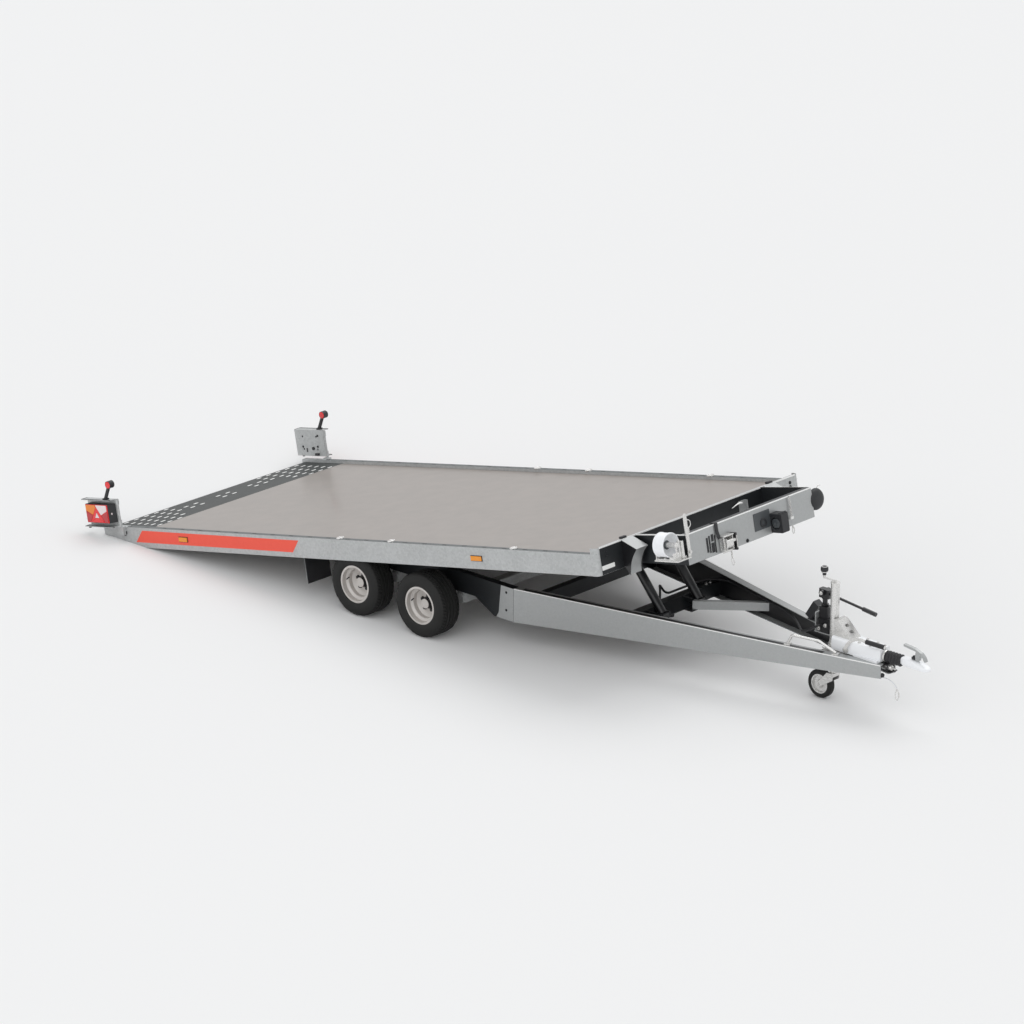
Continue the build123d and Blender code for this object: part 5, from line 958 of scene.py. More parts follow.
    def build_crossmember(self) -> None:
        """Make the bolts of the lifting crossmember and the rubber stop under its sloping plate."""
        stop = lathe([(0.0, 12.0), (4.0, 17.0), (16.0, 19.0), (24.0, 17.0), (28.0, 10.0)], Axis.Z, 32)
        make("tilt_stop", stop.moved(1838.0, -50.0, 258.0), on_chassis(Finishes.RUBBER, "rubber"))
        heads = bolt_head(Axis.Z, 10.0, 8.0).repeated(
            [[1730.0, y, 338.0] for y in (-480.0, -440.0, 440.0, 480.0)])
        make("crossmember_bolts", heads, on_chassis(Finishes.ZINC, "zinc", flat=True))


@dataclass
class JockeyTrim:
    """The jockey wheel's knob, the clamp on its mast and its axle's nuts."""

    mast: float = 3220.0
    crank: float = 95.0      # the crank's throw
    clamp_up: float = 402.0  # the clamp's screw

    def build(self) -> None:
        """Make the mushroom knob, the clamp on the mast and the nuts of the fork."""
        knob = [(872.0, 13.0), (884.0, 13.5), (894.0, 17.0), (900.0, 24.0), (905.0, 26.0), (922.0, 26.0),
                (930.0, 23.0), (933.4, 15.0), (933.8, 0.5)]
        make("crank_knob", lathe(knob, Axis.Z, 40).moved(self.mast - self.crank, 0, 0),
             on_chassis(Finishes.BLACK_PLASTIC, "black_plastic"))
        ring = [(338.0, 33.0), (338.0, 36.5), (342.0, 38.0), (372.0, 38.0), (376.0, 36.5), (376.0, 33.0)]
        collar = lathe(ring, Axis.Z, 40).moved(self.mast, 0, 45.0)
        x, up = self.mast, self.clamp_up
        screw = joined(tube([[x, -36.0, up], [x, -92.0, up]], 6.0, (1, 0, 0), 14),
                       tube([[x - 28.0, -88.0, up], [x + 28.0, -88.0, up]], 5.0, (0, 1, 0), 14))
        make("mast_clamp", joined(collar, screw), on_chassis(Finishes.ZINC, "zinc", bevel=0.8))
        nut = bolt_head(Axis.Y, 11.0, 8.0).moved(3120.0, 39.5, 100.0)
        make("fork_nuts", both_sides(nut), Fit("jockey_fork", Finishes.ZINC, "zinc", flat=True))


@dataclass
class PumpTrim:
    """Collars, hose plugs and pivot bolt of the hand pump."""

    x: float = 3045.0
    y: float = 140.0
    foot: float = 412.8

    def build(self) -> None:
        """Make the pump's collars and cap, its plugs and its lever's pivot bolt."""
        collars = joined(lathe([(178.0, 24.0), (181.0, 26.0), (192.0, 26.0), (195.0, 22.0)], Axis.Z, 32),
                         lathe([(228.0, 22.0), (231.0, 24.0), (236.0, 24.0), (238.0, 21.0)], Axis.Z, 32))
        body = joined(collars.moved(self.x - 20.0, self.y, self.foot),
                      lathe([(91.0, 16.0), (98.0, 16.0), (101.0, 13.0)], Axis.Z, 6)
                      .moved(self.x + 38.0, self.y - 22.0, self.foot))
        make("pump_collars", body, on_chassis(Finishes.BLACK_PAINT, "black_paint"))
        base = self.foot + 46.0
        plugs = joined(lathe([(0.0, 15.0), (7.0, 15.0), (9.0, 12.0)], Axis.Y, 6),
                       lathe([(8.0, 8.0), (15.0, 8.0)], Axis.Y, 20)).mirrored()
        make("pump_plugs", joined(plugs.moved(self.x + 20.0, self.y - 42.0, base + 10.0),
                                  plugs.moved(self.x - 34.0, self.y - 42.0, base - 22.0)),
             on_chassis(Finishes.ZINC, "zinc", flat=True))
        pivot = bolt_head(Axis.Y, 10.0, 8.0).mirrored().moved(self.x - 24.0, self.y - 42.0, self.foot + 276.0)
        make("pump_pivot", pivot, on_chassis(Finishes.ZINC, "zinc", flat=True))


# ---------------------------------------------------------------- bed
@dataclass
class SideRailTrim(Sided):
    """The red band, the painted shade on its top and in its slots, side markers, lashing rings, grommet and
    end reflector of one side rail.
    """

    half: float = 1050.0
    top: float = 215.0
    band: tuple[tuple[float, float], ...] = ((-2402.0, 194.0), (-752.0, 190.0),
                                             (-826.0, 101.0), (-2483.0, 105.0))
    slots: int = 24
    slot_pitch: float = 190.0
    slot_middle: float = -368.0
    rings: tuple[float, ...] = (-347.0, 159.0, 1330.0)

    def build(self) -> None:
        """Make everything that the rail carries."""
        face = -self.half
        band = prism(self.band, face - 0.7, face + 0.2, Axis.Y)
        self.add("red_band", band, on_bed(Finishes.RED_PAINT, None))
        # Painted shade: a flat grey sheet over the rail's top flange.
        top = block((-2560.0, 2112.0), (face + 1.2, face + 43.8), (self.top, self.top + 0.7))
        self.add("rail_top_shade", top, on_bed(Finishes.DULL_TOP, "galvanised"))
        # Painted shade: black plugs over the slots for the dark seen through them.
        steps = np.arange(self.slots) - (self.slots - 1) / 2.0
        plugs = [block((u - 19.5, u + 19.5), (face + 17.5, face + 27.5), (self.top + 0.6, self.top + 1.2))
                 for u in self.slot_middle + self.slot_pitch * steps]
        self.add("rail_slot_shades", joined(*plugs), on_bed(Finishes.RUBBER, "rubber"))
        self.build_markers(face)
        self.build_rings()
        self.build_grommet()

    def build_markers(self, face: float) -> None:
        """Make the amber side markers with their bases, and the white reflector at the bed's corner."""
        bases, lenses = [], []
        for low, high, foot, top in ((-2009.0, -1918.0, 128.0, 164.0), (940.0, 1044.0, 122.0, 158.0)):
            bases.append(block((low - 2.0, high + 2.0), (face - 4.0, face), (foot - 2.0, top + 2.0)))
            lenses.append(block((low + 1.5, high - 1.5), (face - 9.0, face - 3.5), (foot + 1.5, top - 1.5)))
        self.add("marker_bases", joined(*bases),
             on_bed(Finishes.BLACK_PLASTIC, "black_plastic", 1.2))
        self.add("marker_lenses", joined(*lenses),
             on_bed(Finishes.AMBER_REFLECTOR, None, 1.8))
        front = block((2115.5, 2121.5), (-1016.0, -893.0), (96.0, 126.0))
        self.add("front_reflector", front, on_bed(Finishes.WHITE_REFLECTOR, None, 2.0))

    def build_rings(self) -> None:
        """Make the folding lashing rings that lie on the rail's top."""
        lying = np.array([[0, 1, 0], [0, 0, 1], [1, 0, 0]])
        ring = tube(oval_path(52.0, 34.0).dot(lying), 5.0, (0, 0, 1), 12, ring=True)
        plate = joined(block((-24.0, 24.0), (-16.0, 16.0), (0.0, 3.0)),
                       block((-10.0, 10.0), (-7.0, 7.0), (2.5, 10.0)))
        unit = joined(plate, ring.turned(90.0).moved(0, 0, 6.0))
        row = unit.repeated([[ahead, 26.0 - self.half, self.top] for ahead in self.rings])
        self.add("lashing_rings", row, on_bed(Finishes.ZINC, "zinc", 1.0))

    def build_grommet(self) -> None:
        """Make the rubber grommet at the rail's tail and the stud in it."""
        rim = [(0.0, 20.0), (2.0, 23.0), (6.0, 23.0), (8.0, 20.5), (8.0, 13.0), (3.0, 11.5)]
        rubber = lathe(rim, Axis.Y, 40)
        centre = lathe([(0.0, 12.0), (4.0, 12.0), (5.5, 9.0), (6.0, 0.5)], Axis.Y, 24)
        for label, shape, finish, slot in (("grommet", rubber, Finishes.RUBBER, "rubber"),
                                           ("grommet_stud", centre, Finishes.ZINC, "zinc")):
            self.add(label, shape.moved(-2592.0, self.half, 172.0).mirrored(), on_bed(finish, slot))


@dataclass
class FrontBeamTrim:
    """Pads, latch, painted-shade and painted-highlight sheets and curved brackets' plates of the bed's front
    beam.
    """

    face: float = 2116.0
    top: float = 255.0
    shaded: tuple[tuple[float, float], ...] = ((-1018.0, -800.0), (-684.0, 684.0))   # clear of the brackets
    guard_middle: float = 742.0
    guard_half: float = 58.0

    def build(self) -> None:
        """Make the pads on the beam's top, the sheets on its face, and the latch with its bracket."""
        pads = [block((self.face - 30.0, self.face - 3.0), across, (self.top, self.top + 14.0))
                for across in ((-786.0, -734.0), (734.0, 786.0))]
        make("beam_pads", joined(*pads), on_bed(Finishes.RUBBER, "rubber", 3.0))
        # Painted shade: a near-black sheet over the beam's face, clear of the brackets.
        shade = [block((self.face - 0.2, self.face + 0.8), across, (66.0, 246.0)) for across in self.shaded]
        make("beam_shade", joined(*shade), on_bed(Finishes.SHADED_ZINC, "galvanised"))
        # Painted highlight: a near-white strip along the beam's top edge.
        edge = block((self.face - 3.5, self.face + 1.2), (-1020.0, 1020.0), (246.5, self.top + 0.6))
        make("beam_edge_highlight", edge, on_bed(Finishes.BARE_EDGE, "zinc"))
        plate = joined(block((self.face, self.face + 4.0), (404.0, 470.0), (116.0, 214.0)),
                       block((self.face + 4.0, self.face + 30.0), (464.0, 470.0), (116.0, 214.0)))
        make("latch_bracket", plate, on_bed(Finishes.ROLLED_ZINC, "galvanised", 1.0))
        beak = [(20.0, 410.0, 204.0), (26.0, 384.0, 209.0), (28.0, 352.0, 205.0), (26.0, 306.0, 192.0)]
        hook = tube(smooth(beak, 6) + np.array([self.face, 0.0, 0.0]), np.linspace(14.0, 2.5, 19),
                    (1, 0, 0), 14, flat=0.6)
        make("latch_hook", hook, on_bed(Finishes.BARE_EDGE, "zinc"))
        # The bolts on the face take its painted shade.
        bolts = bolt_head(Axis.X, 9.0, 7.0).repeated([[self.face, y, n] for y in (-960.0, 960.0)
                                                      for n in (180.0, 210.0)])
        make("beam_bolts", bolts, on_bed(Finishes.SHADED_ZINC, "zinc", flat=True))
        self.build_guards()

    def build_guards(self) -> None:
        """Make the black sheets of painted shade on the brackets' sides and the pale sloping top plates of
        the two curved brackets.
        """
        nose, fall, top = self.face + 130.0, 59.0, self.top - 3.0
        curve = smooth([(nose, top - fall), (nose - 38.0, 142.0), (nose - 62.0, 96.0),
                        (nose - 84.0, 15.0)], 6)
        root = self.face + 0.5
        cheek = [(root, top - 1.0), *((x - 1.0, z) for x, z in curve.tolist()), (root, 75.0)]
        # Painted shade: black sheets over the brackets' sides.
        sides = [prism(cheek, y, y + 1.2, Axis.Y) for y in (-800.4, -685.2, 684.0, 799.2)]
        make("guard_side_shades", joined(*sides), on_bed(Finishes.BLACK_PAINT, "black_paint"))
        slope = [(self.face + 1.0, top + 2.2), (nose, top - fall + 2.2),
                 (nose, top - fall - 3.0), (self.face + 1.0, top - 3.0)]
        plates = [prism(slope, middle - self.guard_half, middle + self.guard_half, Axis.Y)
                  for middle in (-self.guard_middle, self.guard_middle)]
        make("guard_tops", joined(*plates), on_bed(Finishes.ROLLED_ZINC, "galvanised"))


@dataclass
class WinchTrim:
    """The winch's drum, hub and works, and what is fixed to the winch bar or hangs on it."""

    bar: float = 2566.0          # the bar's front face
    half: float = 655.0          # half the bar's length
    drum: tuple[float, float, float] = (2488.0, -746.0, 220.0)
    flange: float = 84.4         # radius of the drum's flanges
    wound: float = 80.0          # and of what is wound between them
    chain_across: float = 405.0  # safety chain
    socket_up: float = 131.0
    wheel: tuple[float, float] = (-290.0, 112.0)

    def build(self) -> None:
        """Make the winch's fittings, then the lever's, the strap ratchet's, the socket's and the bar's.

        The drum's wound middle has the radius R + 1.6 |sin(t)| along it, with t from 0 to 6 pi.
        """
        u, y, n = self.drum
        turns = np.linspace(-58.0, 6.0, 65)
        wound = self.wound + 1.6 * np.abs(np.sin(np.linspace(0.0, 6.0 * math.pi, 65)))
        drum = [(-69.5, 0.5), (-69.5, self.wound), (-66.0, self.flange), (-60.0, self.flange),
                *zip(turns, wound), (8.0, self.flange), (22.0, self.flange), (25.0, 82.0), (25.0, 79.0),
                (21.0, 77.0), (-14.0, 58.0), (-18.0, 52.0), (-18.0, 0.5)]
        make("winch_drum_shell", lathe(drum, Axis.X, 64).moved(u, y, n),
             on_bed(Finishes.CAST_SILVER, "zinc", stands_for=("winch_drum",)))
        hub = lathe([(-17.6, 30.0), (-12.0, 30.0), (-10.0, 27.0), (-10.0, 0.5)], Axis.X, 40)
        make("winch_hub", hub.moved(u, y, n), on_bed(Finishes.SLATE_PLASTIC, "grey_paint"))
        axle = [(-12.0, 19.0), (78.0, 19.0), (80.0, 16.0), (80.0, 9.0), (86.0, 8.0), (86.0, 0.5)]
        works = joined(lathe(axle, Axis.X, 40),
                       block((70.0, 79.0), (-16.0, -6.0), (-84.0, 22.0)),
                       block((70.0, 79.0), (14.0, 26.0), (-84.0, 36.0)),
                       block((66.0, 76.0), (-44.0, 44.0), (-84.0, -46.0)),
                       block((40.0, 84.0), (34.0, 58.0), (-96.0, 20.0))).moved(u, y, n)
        make("winch_works", works, on_bed(Finishes.ZINC, "zinc", 2.0))
        seat = joined(block((u - 96.0, u + 74.0), (y - 38.0, y + 84.0), (n - 97.5, n - 88.0)),
                      block((u + 30.0, u + 72.0), (y - 40.0, y + 40.0), (n - 90.0, n - 72.0)))
        nuts = bolt_head(Axis.Z, 8.0, 7.0).repeated(
            [[u + along, y + across, n - 88.0] for along in (-80.0, -20.0, 56.0) for across in (-26.0, 70.0)])
        make("winch_seat", joined(seat, nuts), on_bed(Finishes.ZINC, "zinc", 2.0))
        self.build_lever_ring()
        self.build_ratchet()
        self.build_socket()
        self.build_buffers()

    def build_lever_ring(self) -> None:
        """Make the wire loop on the release lever and the stem that it hangs on."""
        ring = tube(oval_path(52.0, 42.0), 2.8, (0, 1, 0), 10, ring=True).turned(78.0)
        stem = tube([[0.0, 0.0, -24.0], [0.0, 0.0, -62.0]], 5.0, (0, 1, 0), 12)
        make("lever_loop", joined(ring, stem).moved(self.bar - 8.0, -606.0, 333.0),
             on_bed(Finishes.ZINC, "zinc"))

    def build_ratchet(self) -> None:
        """Make the strap ratchet's cheek and works, the strap's loose webbing, and what hangs on the bar."""
        bar = self.bar
        cheek = block((bar + 2.0, bar + 58.0), (-228.0, -212.0), (58.0, 178.0))
        make("ratchet_cheek", cheek, on_bed(Finishes.BLACK_PAINT, "black_paint", 4.0))
        wheel = lathe([(-36.0, 24.0), (-33.0, 27.0), (33.0, 27.0), (36.0, 24.0)], Axis.Y, 18)
        webs = [block((bar + 0.8, bar + 2.6), (y, y + wide), (low, high)) for y, wide, low, high in
                ((-462.0, 18.0, 96.0, 196.0), (-436.0, 14.0, 88.0, 204.0), (-414.0, 30.0, 84.0, 150.0),
                 (-410.0, 22.0, 160.0, 208.0), (-380.0, 12.0, 76.0, 196.0))]
        make("bar_webbing", joined(*webs), on_bed(Finishes.RUBBER, "rubber"))
        works = joined(wheel.moved(bar + 34.0, *self.wheel),
                       block((bar + 8.0, bar + 44.0), (-338.0, -330.0), (70.0, 176.0)),
                       block((bar + 8.0, bar + 44.0), (-246.0, -238.0), (70.0, 176.0)),
                       block((bar + 2.0, bar + 52.0), (-340.0, -236.0), (170.0, 178.0)),
                       block((bar + 20.0, bar + 34.0), (-336.0, -240.0), (60.0, 74.0)))
        make("ratchet_works", works, on_bed(Finishes.ZINC, "zinc", 1.6))
        make("ratchet_strap", self.strap(), on_bed(Finishes.RUBBER, "rubber"))
        drop = joined(chain(3).moved(bar + 30.0, -258.0, 72.0),
                      snap_hook(56.0, 30.0, 2.6).moved(bar + 30.0, -258.0, -14.0))
        make("ratchet_chain", drop, on_bed(Finishes.ZINC, "zinc"))
        safety = joined(chain(9).moved(bar + 14.0, self.chain_across, 272.0),
                        snap_hook(60.0, 28.0, 3.0).turned(90.0).moved(bar + 14.0, self.chain_across, 36.0))
        make("safety_chain", safety, on_bed(Finishes.ZINC, "zinc"))
        tag = block((bar + 6.0, bar + 22.0), (390.0, 420.0), (108.0, 128.0))
        make("chain_tag", tag, on_bed(Finishes.WHITE_REFLECTOR, None, 3.0))
        # The bolt takes the bar's painted shade.
        bolt = bolt_head(Axis.X, 10.0, 8.0).moved(bar, -54.0, 76.0)
        make("bar_bolt", bolt, on_bed(Finishes.SHADED_ZINC, "zinc", flat=True))
        self.build_faces()

    def strap(self) -> Shape:
        """The ratchet's strap: a flat band that lies over the bar and down its front.

        Its middle line is smooth, and its two faces stand off it by half its thickness along the
        line's normal, which is the line's slope turned a quarter.

        Returns:
            The strap as a closed band.
        """
        half_wide, half_thick = 15.0, 1.4
        route = [[-46.0, 0.0, 252.0], [-30.0, 0.0, 272.0], [2.0, 0.0, 274.0], [8.0, 0.0, 258.0],
                 [9.0, 0.0, 214.0], [24.0, 0.0, 165.0]]
        line = smooth(np.array(route) + np.array([self.bar, 0.0, 0.0]), 6)
        across = np.array([-1.0, 1.0])[None, :, None] * np.array([0.0, half_wide, 0.0])
        slope = np.gradient(line, axis=0)
        normal = np.stack([-slope[:, 2], np.zeros(len(line)), slope[:, 0]], -1)
        normal /= np.linalg.norm(normal, axis=1, keepdims=True)
        upper = line[:, None] + across + normal[:, None] * half_thick
        lower = line[:, None] + across - normal[:, None] * half_thick
        return lattice(np.concatenate([upper, lower[:, ::-1]], 1)).moved(0, -352.0, 0)

    def build_faces(self) -> None:
        """Make the bar's pale rolled face over its inside in painted shade, and the painted highlights along
        its top edges.
        """
        sheet = block((self.bar - 0.2, self.bar + 0.9), (-self.half, self.half), (60.5, 261.0))
        make("bar_face", sheet, on_bed(Finishes.ROLLED_ZINC, "galvanised"))
        # Painted highlight: near-white strips along the bar's top edges.
        front = block((self.bar - 2.0, self.bar + 1.2), (-self.half - 0.5, self.half + 0.5), (261.5, 270.4))
        arm = [(2118.0, 248.5), (2560.0, 263.5), (2560.0, 270.6), (2118.0, 255.6)]
        sides = [prism(arm, y, y + 5.6, Axis.Y) for y in (-self.half - 0.6, self.half - 5.0)]
        make("bar_edge_highlights", joined(front, *sides), on_bed(Finishes.BARE_EDGE, "zinc"))

    def build_socket(self) -> None:
        """Make the parking socket's insert, lid and hinge, and the slate plate beside it with its ring."""
        cover = [(16.0, 34.0), (20.0, 34.0), (22.0, 31.0), (22.0, 12.0), (18.0, 9.0), (18.0, 0.5)]
        insert = lathe(cover, Axis.Y, 40).mirrored()
        make("socket_insert", insert.moved(self.bar + 46.5, 221.0, self.socket_up),
             on_bed(Finishes.SLATE_PLASTIC, "black_plastic"))
        lid = block((self.bar + 93.0, self.bar + 99.0), (203.0, 277.0), (68.0, 192.0))
        hinge = tube([[self.bar + 80.0, 203.0, 200.0], [self.bar + 80.0, 277.0, 200.0]], 5.0, (1, 0, 0), 14)
        make("socket_lid", joined(lid, hinge), on_bed(Finishes.BLACK_PLASTIC, "black_plastic", 3.0))
        make("bar_plate", block((self.bar, self.bar + 5.0), (33.0, 199.0), (112.0, 234.0)),
             on_bed(Finishes.SLATE_PLASTIC, "black_plastic", 2.0))
        ring = [(5.0, 33.0), (9.0, 33.0), (12.0, 29.0), (12.0, 19.0), (8.0, 16.0), (5.0, 16.0)]
        make("bar_plate_ring", lathe(ring, Axis.X, 40, closed=True).moved(self.bar, 123.0, 155.0),
             on_bed(Finishes.BLACK_PLASTIC, "black_plastic"))

    def build_buffers(self) -> None:
        """Make the domed buffer at the bar's left end and the wire hook over it."""
        profile = [(0.0, 70.0), (6.0, 76.0), (20.0, 74.0), (36.0, 60.0), (46.0, 36.0), (49.0, 0.5)]
        dome = lathe(smooth(profile, 5).tolist(), Axis.X, 56)
        make("bar_buffer", dome.moved(self.bar - 26.0, 706.0, 172.0),
             on_bed(Finishes.BLACK_PLASTIC, "rubber"))
        bend = smooth([(0.0, 0.0, -34.0), (0.0, 2.0, 0.0), (4.0, 14.0, 16.0), (8.0, 34.0, 14.0)], 5)
        wire = tube(bend, 3.0, (1, 0, 0), 10)
        make("buffer_hook", wire.moved(self.bar - 30.0, 748.0, 238.0), on_bed(Finishes.ZINC, "zinc"))


@dataclass
class Mudflap:
    """One mudflap: a rubber sheet with shallow upright ribs, and a pale strip on its outer edge."""

    side: str
    wide: float = 235.0
    half_thick: float = 2.4
    ripple: float = 0.9      # height of its ribs
    ribs: float = 3.0        # how many across it

    def place(self, shape: Shape) -> Shape:
        """The shape on this side: it is drawn for the left one."""
        return shape if self.side == "left" else shape.mirrored()

    def build(self) -> None:
        """Make the sheet and its strip behind the rear wheel.

        At a share s across it, the sheet stands forward by ripple cos(2 pi ribs s).
        """
        low, high = BED.box("mudflaps")
        fall, across = np.meshgrid(np.linspace(0.0, 1.0, 24), np.linspace(0.0, 1.0, 12), indexing="ij")
        bow = low[0] + 3.0 + self.ripple * np.cos(2.0 * np.pi * self.ribs * across)
        y = high[1] - 2.0 - across * (self.wide - 4.0)
        front = np.stack([bow + self.half_thick, y, high[2] - 1.0 - fall * (high[2] - low[2] - 2.0)], -1)
        back = front - np.array([2.0 * self.half_thick, 0.0, 0.0])
        sheet = lattice(np.concatenate([front, back[:, ::-1]], 1))
        make(f"mudflap_{self.side}", self.place(sheet),
             on_bed(Finishes.RUBBER, "rubber", stands_for=("mudflaps",)))
        strip = block((low[0] + 0.5, high[0] - 0.5), (high[1] - 1.5, high[1] - 0.1),
                      (low[2] + 1.0, high[2] - 1.0))
        make(f"flap_strip_{self.side}", self.place(strip), on_bed(Finishes.GREY_RUBBER, "rubber"))


@dataclass
class TailTrim:
    """The bright pressed studs round the slots of the tail plate, which give a tyre its grip."""

    rows: tuple[tuple[float, int], ...] = ((882.0, 6), (782.0, 6), (682.0, 6), (582.0, 5), (482.0, 3))
    first: float = -2756.0       # rearmost slot of each row
    pitch: float = 73.0
    level: float = 195.6
    groups: tuple[float, ...] = (-330.0, 0.0, 330.0)     # middles of the groups of four
    group_at: float = -2610.0
    end: float = 9.0             # radius of a slot's round end
    straight: float = 14.0       # half the straight run between its ends

    def build(self) -> None:
        """Make a flat oval stud over each slot, both at the sides and in the three groups between them."""
        places = [(self.first + self.pitch * k, side * y, self.level) for y, count in self.rows
                  for side in (-1.0, 1.0) for k in range(count)]
        places += [(self.group_at + along, middle + across, self.level) for middle in self.groups
                   for along in (-self.pitch / 2.0, self.pitch / 2.0) for across in (-50.0, 50.0)]
        steps = 24
        angle = np.linspace(0.0, 2.0 * math.pi, steps, endpoint=False)
        ends = np.stack([np.cos(angle), np.sin(angle)], -1) * self.end
        outline = ends + np.stack([np.zeros(steps), np.sign(np.sin(angle)) * self.straight], -1)
        stud = prism(outline.tolist(), 0.0, 1.4, Axis.Z)
        make("tail_studs", stud.repeated(places), on_bed(Finishes.BARE_EDGE, "zinc"))


# ---------------------------------------------------------------- lamps
# Outlines of the lamp's panels, in shares of its face: rearward to forward, and upward.
LENS_PANELS: tuple[tuple[str, Finishes, tuple[tuple[float, float], ...]], ...] = (
    ("amber_lens", Finishes.AMBER_LENS,
     ((0.02, 0.97), (0.43, 0.97), (0.47, 0.84), (0.32, 0.44), (0.02, 0.66))),
    ("clear_lens", Finishes.CLEAR_LENS,
     ((0.47, 0.97), (0.96, 0.97), (0.96, 0.66), (0.68, 0.43), (0.51, 0.84))),
    ("stop_lens_rear", Finishes.RED_LENS, ((0.02, 0.63), (0.31, 0.41), (0.18, 0.05), (0.02, 0.05))),
    ("stop_lens_front", Finishes.RED_LENS, ((0.98, 0.63), (0.69, 0.40), (0.82, 0.05), (0.98, 0.05))),
    ("triangle_upper_rear", Finishes.RED_TRIANGLE, ((0.49, 0.86), (0.19, 0.04), (0.39, 0.25), (0.49, 0.58))),
    ("triangle_upper_front", Finishes.RED_TRIANGLE, ((0.49, 0.86), (0.49, 0.58), (0.59, 0.25), (0.80, 0.04))),
    ("triangle_foot", Finishes.RED_TRIANGLE, ((0.20, 0.03), (0.79, 0.03), (0.59, 0.24), (0.39, 0.24))),
    ("triangle_centre", Finishes.CLEAR_LENS, ((0.49, 0.55), (0.40, 0.27), (0.58, 0.27))),
)


@dataclass
class RearLamp(Sided):
    """The lenses, edgings and fittings of one rear lamp's frame, and its side marker's lenses."""

    back: float = 1074.0     # lamp frame's outer face
    deep: float = 52.0       # lamp's housing
    low: tuple[float, float] = (-2895.0, 259.0)      # the face's lower rear corner
    size: tuple[float, float] = (239.0, 136.0)
    shelves: tuple[float, ...] = (227.0, 428.0)      # heights of the frame's two shelves
    marker: tuple[float, float] = (-2610.4, 548.0)
    marker_in: float = 32.0      # marker's middle outside the frame's face

    def panel(self, outline: Sequence[tuple[float, float]], rise: float = 3.0) -> Shape:
        """A lens panel, its outline given in shares of the lamp's face, rising so far above the frame."""
        corners = [(self.low[0] + w * self.size[0], self.low[1] + h * self.size[1]) for w, h in outline]
        face = -(self.back + self.deep)
        return prism(corners, face - 4.5 - rise, face - 4.0, Axis.Y)

    def build(self) -> None:
        """Make the lens frame, its panels, the edgings and the marker's lenses."""
        body = f"lamp_{self.side}"
        face = -(self.back + self.deep)
        frame_block = block((self.low[0], self.low[0] + self.size[0]), (face - 4.2, face + 1.0),
                            (self.low[1], self.low[1] + self.size[1]))
        self.add("lens_frame", frame_block, Fit(body, Finishes.RED_TRIANGLE, None, BED, 2.0))
        for label, finish, outline in LENS_PANELS:
            self.add(label, self.panel(outline), Fit(body, finish, None, BED, 0.8))
        self.build_edgings(body)
        self.build_marker(body)

    def build_edgings(self, body: str) -> None:
        """Make the dark edgings of the frame's shelves, its plate lamp, its foot and its fittings."""
        shelves, ends = ([block(along, across, (level - 1.4, level + 5.4)) for level in self.shelves]
                         for along, across in (((-2924.8, -2614.0), (-1133.6, -1120.0)),
                                               ((-2924.8, -2919.0), (-1122.0, -self.back))))
        self.add("shelf_edgings", joined(*shelves, *ends),
             Fit(body, Finishes.RUBBER, "rubber", BED, 1.0))
        button = lathe([(-2652.0, 10.0), (-2640.0, 10.0), (-2638.0, 7.0), (-2637.0, 0.5)], Axis.X, 24)
        self.add("number_plate_lamp", button.moved(0, -1100.0, 325.0),
             Fit(body, Finishes.CLEAR_LENS, None, BED))
        foot = lathe([(212.0, 8.0), (214.0, 11.0), (226.0, 11.0), (228.5, 9.0)], Axis.Z, 24)
        self.add("lamp_foot", foot.moved(-2900.0, -1108.0, 0), Fit(body, Finishes.RUBBER, "rubber", BED))
        bolts = bolt_head(Axis.Y, 7.0, 5.0).repeated([[-2677.0, 0.0, 388.0], [-2852.0, 0.0, 299.0],
                                                      [-2690.0, 0.0, 302.0]])
        fittings = joined(bolts,
                          lathe([(0.0, 13.0), (7.0, 13.0), (9.0, 8.0)], Axis.Y, 24).moved(-2740.0, 0, 287.0),
                          block((-2722.0, -2684.0), (0.0, 12.0), (234.0, 252.0)),
                          block((-2816.0, -2806.0), (0.0, 3.0), (258.0, 288.0)))
        self.add("frame_fittings", fittings.moved(0, -1070.0, 0),
             Fit(body, Finishes.BLACK_PAINT, "black_paint", BED, flat=True))

    def build_marker(self, body: str) -> None:
        """Make the marker's red lens on its near side, its clear one on the far side, and its gland."""
        u, n = self.marker
        middle = self.back + self.marker_in
        lens = lathe([(20.0, 25.6), (22.3, 25.0), (23.6, 20.0), (24.2, 10.0), (24.3, 0.5)], Axis.Y, 40)
        at = (u, -middle if self.side == "right" else middle, n)
        for label, finish, face in (("marker_red", Finishes.RED_TRIANGLE, lens.mirrored()),
                                    ("marker_clear", Finishes.CLEAR_LENS, lens)):
            make(f"{label}_{self.side}", face.moved(*at), Fit(body, finish, None, BED))
        gland = lathe([(432.0, 20.0), (434.0, 22.0), (441.0, 20.0), (446.0, 14.0)], Axis.Z, 28)
        self.add("marker_gland", gland.moved(-2680.0, -middle, 0), Fit(body, Finishes.RUBBER, "rubber", BED))


